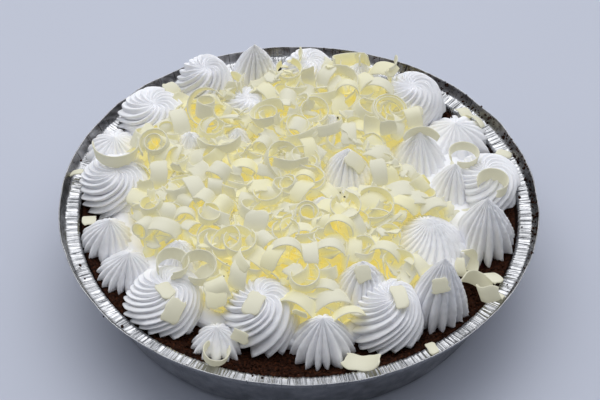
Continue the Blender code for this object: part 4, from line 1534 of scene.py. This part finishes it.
LAID_FLAT = np.array(Matrix.Rotation(-math.pi / 2.0, 3, "Y"))
HOLLOW_UP = ("curl_on_front_rim",)
LYING_ON_CREAM = (
    "flake_on_north_star", "ring_on_east_inner_star", "ring_on_east_rosette", "curl_on_northeast_star",
    "curl_on_west_rosette", "ring_on_southwest_star", "ring_by_southwest_star", "flake_on_south_star",
)
OPEN_ROUND_CURL = 0.0065
CROWN_PLACES = np.array([(curl.across, curl.back) for curl in TOP_CURLS]) * MM


def open_places() -> list[tuple[np.ndarray, float]]:
    """Find what the heap's curls leave free, each place a little towards the front.

    Returns:
        The places and how far round them nothing is laid.
    """
    forward = np.array((0.0, -0.003))
    places = [(dollop.middle + forward, dollop.bare * MM) for dollop in DOLLOPS + UNDER_HEAP if dollop.bare]
    for curl in LOOSE_CURLS:
        if curl.name in LYING_ON_CREAM:
            places.append((np.array((curl.across, curl.back - 1.5)) * MM, OPEN_ROUND_CURL))
    return places


OPEN_PLACES = open_places()


class CurlHeap:
    """The heap of curls over the middle of the pie."""

    MOST = 1150
    TRIES = 8
    SHREDS = 700
    POINTS_ALONG = 18
    CROWN_POINTS_ALONG = 30
    SHRED_POINTS_ALONG = 7
    # How far a curl may reach over the open cream
    OVER_CREAM = 0.0010
    CROWN_OVER_CREAM = 0.0045
    ANYWHERE = 1.0
    CORE_HEIGHT = 0.0446
    CORE_ROWS = 70
    CORE_TONE = -1.5
    COLUMNS = 360
    EDGE_HEIGHT = 0.0466
    EDGE_RISE = 0.0036
    CROWN_DIP = 0.0022
    # Painted highlight that makes the curls' edges paler, and painted shade that makes the insides of
    # rolled curls more yellow
    EDGE_PAINTED_HIGHLIGHT = 1.6
    INNER_PAINTED_SHADE = 1.0
    # Up to these shares the draw gives rings, standing rolls, lying rolls and arches, and flakes above them
    RINGS_TO = 0.36
    STANDING_ROLLS_TO = 0.46
    LYING_ROLLS_TO = 0.53
    ARCHES_TO = 0.82
    # Share of a curl's points that stay clear of what it lies on, and how far it is then pressed in
    PRESS = {
        CurlKind.SHRED: (0.85, 0.0010), CurlKind.RING: (0.80, 0.0024), CurlKind.ROLL: (0.84, 0.0024),
        CurlKind.ARCH: (0.80, 0.0020), CurlKind.FLAKE: (0.84, 0.0012), CurlKind.CROWN: (0.88, 0.0010),
    }

    def __init__(self, material: bpy.types.Material, ground: Ground) -> None:
        """Set what the heap lies on.

        Args:
            material: The chocolate.
            ground: Height of what has been laid so far.
        """
        self.material = material
        self.ground = ground
        self.chance = np.random.default_rng(52)
        self.noise = Noise(53)
        self.builders = {kind: Builder() for kind in CurlKind}

    def crown(self) -> None:
        """Lay the large curls on top."""
        for number, curl in enumerate(TOP_CURLS):
            form = CurlForm(curl.radius * MM, curl.loosen, math.radians(curl.sweep), curl.width * MM,
                            cone=self.chance.uniform(-0.08, 0.08), seed=8000 + number)
            turn = turn_matrix(math.radians(curl.heading), math.radians(curl.tilt), math.radians(curl.roll))
            if curl.lying:
                turn = turn @ LAID_FLAT
            spot = np.array((curl.across, curl.back)) * MM
            over = self.ANYWHERE if curl.over_cream else self.CROWN_OVER_CREAM
            self.lay(CurlKind.CROWN, form, turn, spot, self.CROWN_POINTS_ALONG, over)

    @staticmethod
    def reach(place: np.ndarray) -> float:
        """How far the heap reaches in the direction of a place.

        Args:
            place: The place in plan.

        Returns:
            The distance from the middle.
        """
        bearing = math.degrees(math.atan2(place[1], place[0])) % 360.0
        stops, reaches = zip(*HEAP_REACH)
        return float(np.interp(bearing, stops, reaches)) * MM

    @classmethod
    def margin(cls, place: np.ndarray) -> float:
        """Distance from the heap's edge and from the cream that it leaves free.

        Args:
            place: The place in plan.

        Returns:
            The distance, positive inside the heap.
        """
        room = cls.reach(place) - float(np.hypot(*place))
        if room < 0.0:
            return room
        for dollop in DOLLOPS + UNDER_HEAP:
            apart = float(np.hypot(*(dollop.middle - place)))
            room = min(room, apart - dollop.bare * MM)
        return room

    @staticmethod
    def clearance(points: np.ndarray) -> float:
        """How far points stay from the cream and the loose curls that lie open to the front.

        Args:
            points: A curl's points.

        Returns:
            The least distance in plan, negative where they reach over.
        """
        room = 1.0
        for middle, reach in OPEN_PLACES:
            away = points[:, :2] - middle
            room = min(room, float(np.hypot(away[:, 0], away[:, 1]).min()) - reach)
        return room

    def target(self, place: np.ndarray) -> float:
        """Height that the heap should rise to, lower where a large curl will lie on it.

        Args:
            place: The place in plan.

        Returns:
            The height.
        """
        share = min(max(self.margin(place) / 0.020, 0.0), 1.0)
        near = float(np.hypot(*(CROWN_PLACES - place).T).min())
        dip = self.CROWN_DIP * min(max((0.009 - near) / 0.004, 0.0), 1.0)
        return self.EDGE_HEIGHT + self.EDGE_RISE * share - dip

    def core(self) -> None:
        """The closely packed bed of shreds under the curls."""
        rows = np.linspace(0.0, 1.0, self.CORE_ROWS)
        turn = np.linspace(0.0, math.tau, self.COLUMNS, endpoint=False)
        grid = np.zeros((len(rows), self.COLUMNS, 3))
        for column, angle in enumerate(turn):
            way = np.array((math.cos(angle), math.sin(angle)))
            reach = self.reach(way) + 0.002
            for row, share in enumerate(rows):
                spot = way * reach * share
                slope = min(max(self.margin(spot) / 0.008, 0.0), 1.0)
                grid[row, column] = (*spot, self.CORE_HEIGHT - 0.009 * (1.0 - slope) ** 1.5)
        grid[..., 2] += self.noise.at(grid, 0.0030) * 0.0008 + self.noise.at(grid + 1.0, 0.0012) * 0.0004
        self.ground.add(grid.reshape(-1, 3))
        self.builders[CurlKind.CORE].add_grid(grid, wrap=True)
        self.builders[CurlKind.CORE].tones += [self.CORE_TONE] * (len(rows) * self.COLUMNS)

    def form(self, number: int) -> tuple[CurlKind, CurlForm, np.ndarray]:
        """Draw one curl.

        Args:
            number: The curl's number, which seeds its ragged ends.

        Returns:
            Its kind, its shape and the way it lies.
        """
        chance = self.chance
        draw = chance.random()
        heading = chance.uniform(0.0, math.tau)
        tilt = chance.normal(0.0, 0.34)
        roll = chance.normal(0.0, 0.26)
        if draw < self.RINGS_TO:
            form = CurlForm(chance.uniform(4.2, 9.5) * MM, chance.uniform(-0.1, 0.45),
                            math.radians(chance.uniform(170.0, 380.0)), chance.uniform(4.5, 7.5) * MM,
                            cone=chance.uniform(-0.14, 0.14), seed=number)
            return CurlKind.RING, form, turn_matrix(heading, tilt, roll)
        if draw < self.STANDING_ROLLS_TO:
            form = CurlForm(chance.uniform(2.4, 4.0) * MM, chance.uniform(0.9, 1.5),
                            math.radians(chance.uniform(430.0, 620.0)), chance.uniform(4.0, 7.0) * MM,
                            cone=chance.uniform(-0.10, 0.10), seed=number)
            return CurlKind.ROLL, form, turn_matrix(heading, tilt, roll)
        if draw < self.LYING_ROLLS_TO:
            form = CurlForm(chance.uniform(2.6, 3.6) * MM, chance.uniform(0.5, 0.9),
                            math.radians(chance.uniform(380.0, 560.0)), chance.uniform(7.0, 10.0) * MM,
                            cone=chance.uniform(-0.06, 0.06), seed=number)
            return CurlKind.ROLL, form, turn_matrix(heading, tilt, roll) @ LAID_FLAT
        if draw < self.ARCHES_TO:
            form = CurlForm(chance.uniform(5.5, 9.0) * MM, chance.uniform(0.0, 0.5),
                            math.radians(chance.uniform(80.0, 150.0)), chance.uniform(6.5, 10.0) * MM,
                            cone=chance.uniform(-0.1, 0.1), cup=chance.uniform(-0.6, 0.6) * MM, seed=number)
            over = math.pi if chance.random() < 0.35 else 0.0
            return CurlKind.ARCH, form, turn_matrix(heading, tilt + over, roll) @ LAID_FLAT
        form = CurlForm(chance.uniform(8.0, 15.0) * MM, chance.uniform(0.0, 0.6),
                        math.radians(chance.uniform(32.0, 58.0)), chance.uniform(5.0, 9.0) * MM,
                        seed=number, ragged=0.26, cup=chance.uniform(-0.6, 0.6) * MM)
        return CurlKind.FLAKE, form, turn_matrix(heading, tilt * 1.5, roll * 1.5) @ LAID_FLAT

    def spot(self) -> np.ndarray:
        """Draw a place anywhere inside the heap.

        Returns:
            The place in plan.
        """
        spot = self.chance.uniform(-0.1, 0.1, 2)
        while self.margin(spot) < 0.0:
            spot = self.chance.uniform(-0.1, 0.1, 2)
        return spot

    def lowest(self) -> tuple[np.ndarray, float]:
        """Draw a few places and take the lowest.

        Returns:
            The place in plan, and how far it stands above the height that it should rise to.
        """
        best = None
        least = 1.0
        for _ in range(self.TRIES):
            spot = self.spot()
            across, back = self.ground.cells(np.array([[spot[0], spot[1], 0.0]]))
            rows = slice(max(across[0] - 5, 0), across[0] + 6)
            columns = slice(max(back[0] - 5, 0), back[0] + 6)
            near = self.ground.height[rows, columns]
            excess = float(near.mean()) - self.target(spot)
            if excess < least:
                least = excess
                best = spot
        return best, least

    def lay(self, kind: CurlKind, form: CurlForm, turn: np.ndarray, spot: np.ndarray, along: int,
            over: float = OVER_CREAM) -> None:
        """Press one curl on to what lies at a spot, unless it would reach too far over the open cream.

        Args:
            kind: Its kind.
            form: Its shape.
            turn: The way it lies.
            spot: The spot in plan.
            along: Points along its length.
            over: How far it may reach over the open cream.
        """
        points, faces = form.body(along)
        points = points @ turn.T + np.array((spot[0], spot[1], 0.0))
        if self.clearance(points) < -over:
            LOG.debug("left out %s at %.3f %.3f", kind.value, spot[0], spot[1])
            return
        share, sink = self.PRESS[kind]
        rise = self.ground.rise(points, share) - sink
        points = points + np.array((0.0, 0.0, rise))
        quads = points[faces]
        self.ground.add(np.concatenate([points, quads.mean(axis=1), (quads[:, 0] + quads[:, 1]) / 2.0]))
        builder = self.builders[kind]
        builder.add_solid(points, faces)
        # Each curl gets a random shift of its own colour; the insides of rolled curls get painted shade and
        # the edges a painted highlight
        tone = np.full(len(points), self.chance.uniform(-1.0, 1.0))
        side = np.arange(len(points)) % (2 * len(form.SIDES))
        if form.sweep > math.radians(150.0):
            tone += self.INNER_PAINTED_SHADE * (side >= len(form.SIDES))
        tone -= self.EDGE_PAINTED_HIGHLIGHT * np.isin(side, form.EDGES)
        builder.tones += tone.tolist()

    def shred(self, number: int, spot: np.ndarray) -> None:
        """Lay one small shred.

        Args:
            number: The shred's number, which seeds its ragged ends.
            spot: The spot in plan.
        """
        chance = self.chance
        form = CurlForm(chance.uniform(4.0, 9.0) * MM, 0.3, math.radians(chance.uniform(30.0, 75.0)),
                        chance.uniform(2.5, 5.0) * MM, seed=5000 + number, ragged=0.3)
        turn = turn_matrix(chance.uniform(0.0, math.tau), chance.normal(0.0, 0.5), chance.normal(0.0, 0.5))
        self.lay(CurlKind.SHRED, form, turn @ LAID_FLAT, spot, self.SHRED_POINTS_ALONG)

    def build(self) -> list[bpy.types.Object]:
        """Heap up all the curls.

        Returns:
            One piece for each kind.
        """
        self.core()
        for number in range(self.SHREDS):
            self.shred(number, self.spot())
        laid = 0
        for number in range(self.MOST):
            spot, excess = self.lowest()
            if excess > 0.0:
                continue
            kind, form, turn = self.form(number)
            self.lay(kind, form, turn, spot, self.POINTS_ALONG)
            laid += 1
        self.crown()
        LOG.info("heap of %d curls", laid)
        made = []
        for kind, builder in self.builders.items():
            points = np.concatenate(builder.points)
            # How deep each point lies, which the chocolate turns into painted bounce light and glow
            depth = self.ground.depth(points)
            tones = np.array(builder.tones)
            piece = builder.piece(f"heap_{kind.value}", self.material, depth=depth, tone=tones)
            ready(piece, Slot.CHOCOLATE, "curls_heap")
            made.append(piece)
        return made


class LooseCurls:
    """Curls and flakes that lie apart from the heap."""

    POINTS_ALONG = 24
    RING_SINK = 0.0012
    FLAKE_SINK = 0.0004
    RESTING_SHARE = 0.97

    def __init__(self, material: bpy.types.Material, ground: Ground) -> None:
        """Set what the curls lie on.

        Args:
            material: The chocolate.
            ground: Height of what has been laid so far.
        """
        self.material = material
        self.ground = ground

    def lie(self, curl: LooseCurl, spot: np.ndarray) -> np.ndarray:
        """How a curl lies: rings stand on edge, and the others follow the ground.

        Args:
            curl: The curl.
            spot: Its place in plan.

        Returns:
            Its turn.
        """
        heading = math.radians(curl.heading)
        roll = math.radians(curl.roll)
        if curl.ring:
            return turn_matrix(heading, math.radians(curl.tilt), roll)
        upright = Vector((0.0, 0.0, 1.0)).rotation_difference(Vector(self.ground.slope(spot)))
        if curl.name in HOLLOW_UP:
            turn = turn_matrix(heading, math.pi, roll)
        else:
            turn = turn_matrix(heading, 0.0, 0.0)
        return np.array(upright.to_matrix()) @ (turn @ LAID_FLAT)

    def build(self) -> list[bpy.types.Object]:
        """Make each loose curl where its node lies.

        Returns:
            The pieces.
        """
        made = []
        for number, curl in enumerate(LOOSE_CURLS):
            form = CurlForm(curl.bend_radius * MM, 0.12, math.radians(curl.sweep), curl.width * MM,
                            cone=0.06, seed=900 + number)
            spot = np.array((curl.across, curl.back)) * MM
            points, faces = form.body(self.POINTS_ALONG)
            points = points @ self.lie(curl, spot).T + np.array((spot[0], spot[1], 0.0))
            sink = self.RING_SINK if curl.ring else self.FLAKE_SINK
            points[:, 2] += self.ground.rise(points, self.RESTING_SHARE) - sink
            self.ground.add(points)
            builder = Builder()
            builder.add_solid(points, faces)
            none = np.zeros(len(points))
            piece = builder.piece(f"{curl.name}_shaved", self.material, depth=none, tone=none)
            ready(piece, Slot.CHOCOLATE, curl.name)
            made.append(piece)
        return made


class Specks:
    """Single crumbs that lie on the heap."""

    def __init__(self, finish: CrumbFinish, ground: Ground) -> None:
        """Set what the crumbs lie on.

        Args:
            finish: The crumb's finish.
            ground: Height of what has been laid so far.
        """
        self.material = finish.material()
        self.ground = ground

    def build(self) -> bpy.types.Object:
        """Drop each crumb on to the heap.

        Returns:
            The crumbs.
        """
        grains = Grains(61)
        for across, back, width in HEAP_SPECKS:
            spot = np.array([[across * MM, back * MM, 0.0]])
            height = float(self.ground.height[self.ground.cells(spot)][0])
            grains.add(np.array((across * MM, back * MM, height + width * MM * 0.2)), width * MM)
        piece = grains.builder.piece("heap_specks", self.material, smooth=False)
        ready(piece, Slot.CRUMB, "curls_heap")
        return piece


class Studio:
    """Table, light and camera."""

    LENS = 85.0
    ELEVATION = math.radians(44.4)
    DISTANCE = 0.689
    AIM = Vector((0.00063, -0.00163, 0.04034))
    TABLE_HALF = 4.0
    TABLE_LEVEL = -0.0002
    TABLE_STOPS = ((0.3, (0.50, 0.53, 0.62)), (0.7, (0.52, 0.55, 0.64)))
    LAMP_WIDTH = 1.4
    LAMP_DEPTH = 0.9
    LAMP_POWER = 4.8
    LAMP_COLOUR = (1.0, 0.99, 0.97)
    LAMP_PLACE = (-0.10, 0.50, 1.25)
    LAMP_AIM = Vector((0.0, 0.0, 0.03))
    # The room is brightest up and to the back. Its stops are cosines of the angle away from there
    BRIGHT_WAY = (0.0, 0.52, 0.854)
    ROOM_STOPS = (
        (0.0, (0.04, 0.042, 0.048)),
        (0.20, (0.14, 0.145, 0.16)),
        (0.48, (0.54, 0.56, 0.60)),
        (0.75, (1.00, 1.02, 1.07)),
        (1.0, (1.30, 1.32, 1.38)),
    )

    def table(self) -> None:
        """Lay the pale table under the tin."""
        shader = Shader("table_finish")
        shader.set("Roughness", 0.6)
        colour = shader.ramp(shader.noise(3.0, 2.0), self.TABLE_STOPS)
        shader.join(colour, shader.surface.inputs["Base Color"])
        builder = Builder()
        line = np.linspace(-self.TABLE_HALF, self.TABLE_HALF, 9)
        across, back = np.meshgrid(line, line, indexing="xy")
        builder.add_grid(np.stack([across, back, np.full_like(across, self.TABLE_LEVEL)], -1))
        made = builder.piece("table", shader.material)

    def light(self) -> None:
        """Hang a large soft light behind and above."""
        lamp = bpy.data.lights.new("window", "AREA")
        lamp.shape = "RECTANGLE"
        lamp.size = self.LAMP_WIDTH
        lamp.size_y = self.LAMP_DEPTH
        lamp.energy = self.LAMP_POWER
        lamp.color = self.LAMP_COLOUR
        made = bpy.data.objects.new("window", lamp)
        made.location = self.LAMP_PLACE
        made.rotation_euler = (self.LAMP_AIM - made.location).to_track_quat("-Z", "Y").to_euler()
        bpy.context.scene.collection.objects.link(made)

    def room(self) -> None:
        """Surround the pie with a soft room, dark below and bright above."""
        world = bpy.data.worlds.new("room")
        world.use_nodes = True
        tree = world.node_tree
        back = tree.nodes["Background"]
        place = tree.nodes.new("ShaderNodeTexCoord")
        upward = tree.nodes.new("ShaderNodeVectorMath")
        upward.operation = "DOT_PRODUCT"
        upward.inputs[1].default_value = self.BRIGHT_WAY
        ramp = tree.nodes.new("ShaderNodeValToRGB")
        fill_ramp(ramp, self.ROOM_STOPS)
        tree.links.new(place.outputs["Generated"], upward.inputs[0])
        tree.links.new(upward.outputs["Value"], ramp.inputs["Fac"])
        tree.links.new(ramp.outputs["Color"], back.inputs["Color"])
        back.inputs["Strength"].default_value = 1.0
        bpy.context.scene.world = world

    def camera(self) -> None:
        """Set up the camera at the photo's view."""
        lens = bpy.data.cameras.new("camera")
        lens.lens = self.LENS
        lens.sensor_width = 36.0
        lens.clip_start = 0.01
        made = bpy.data.objects.new("camera", lens)
        away = Vector((0.0, -math.cos(self.ELEVATION), math.sin(self.ELEVATION)))
        made.location = Vector((0.0, 0.0, TIN.lip_height)) + away * self.DISTANCE
        made.rotation_mode = "QUATERNION"
        made.rotation_quaternion = (self.AIM - made.location).to_track_quat("-Z", "Y")
        bpy.context.scene.collection.objects.link(made)
        bpy.context.scene.camera = made

    def build(self) -> None:
        """Set up the studio."""
        self.table()
        self.light()
        self.room()
        self.camera()
        bpy.context.scene.view_settings.view_transform = "Standard"
        bpy.context.scene.cycles.max_bounces = 16
        bpy.context.scene.cycles.diffuse_bounces = 12


def main() -> None:
    """Build the pie and its studio."""
    logging.basicConfig(level=logging.INFO, format="%(message)s")
    FoilTin(TIN, FoilFinish()).build()
    CrumbCrust(FILL, CrumbFinish(), VelvetFinish()).build()
    ground = Ground(FILL)
    PipedCream(FILL, CreamFinish()).build(ground)
    chocolate = ChocolateFinish().material()
    LooseCurls(chocolate, ground).build()
    CurlHeap(chocolate, ground).build()
    Specks(CrumbFinish("speck_finish"), ground).build()
    Studio().build()


if __name__ == "__main__":
    main()
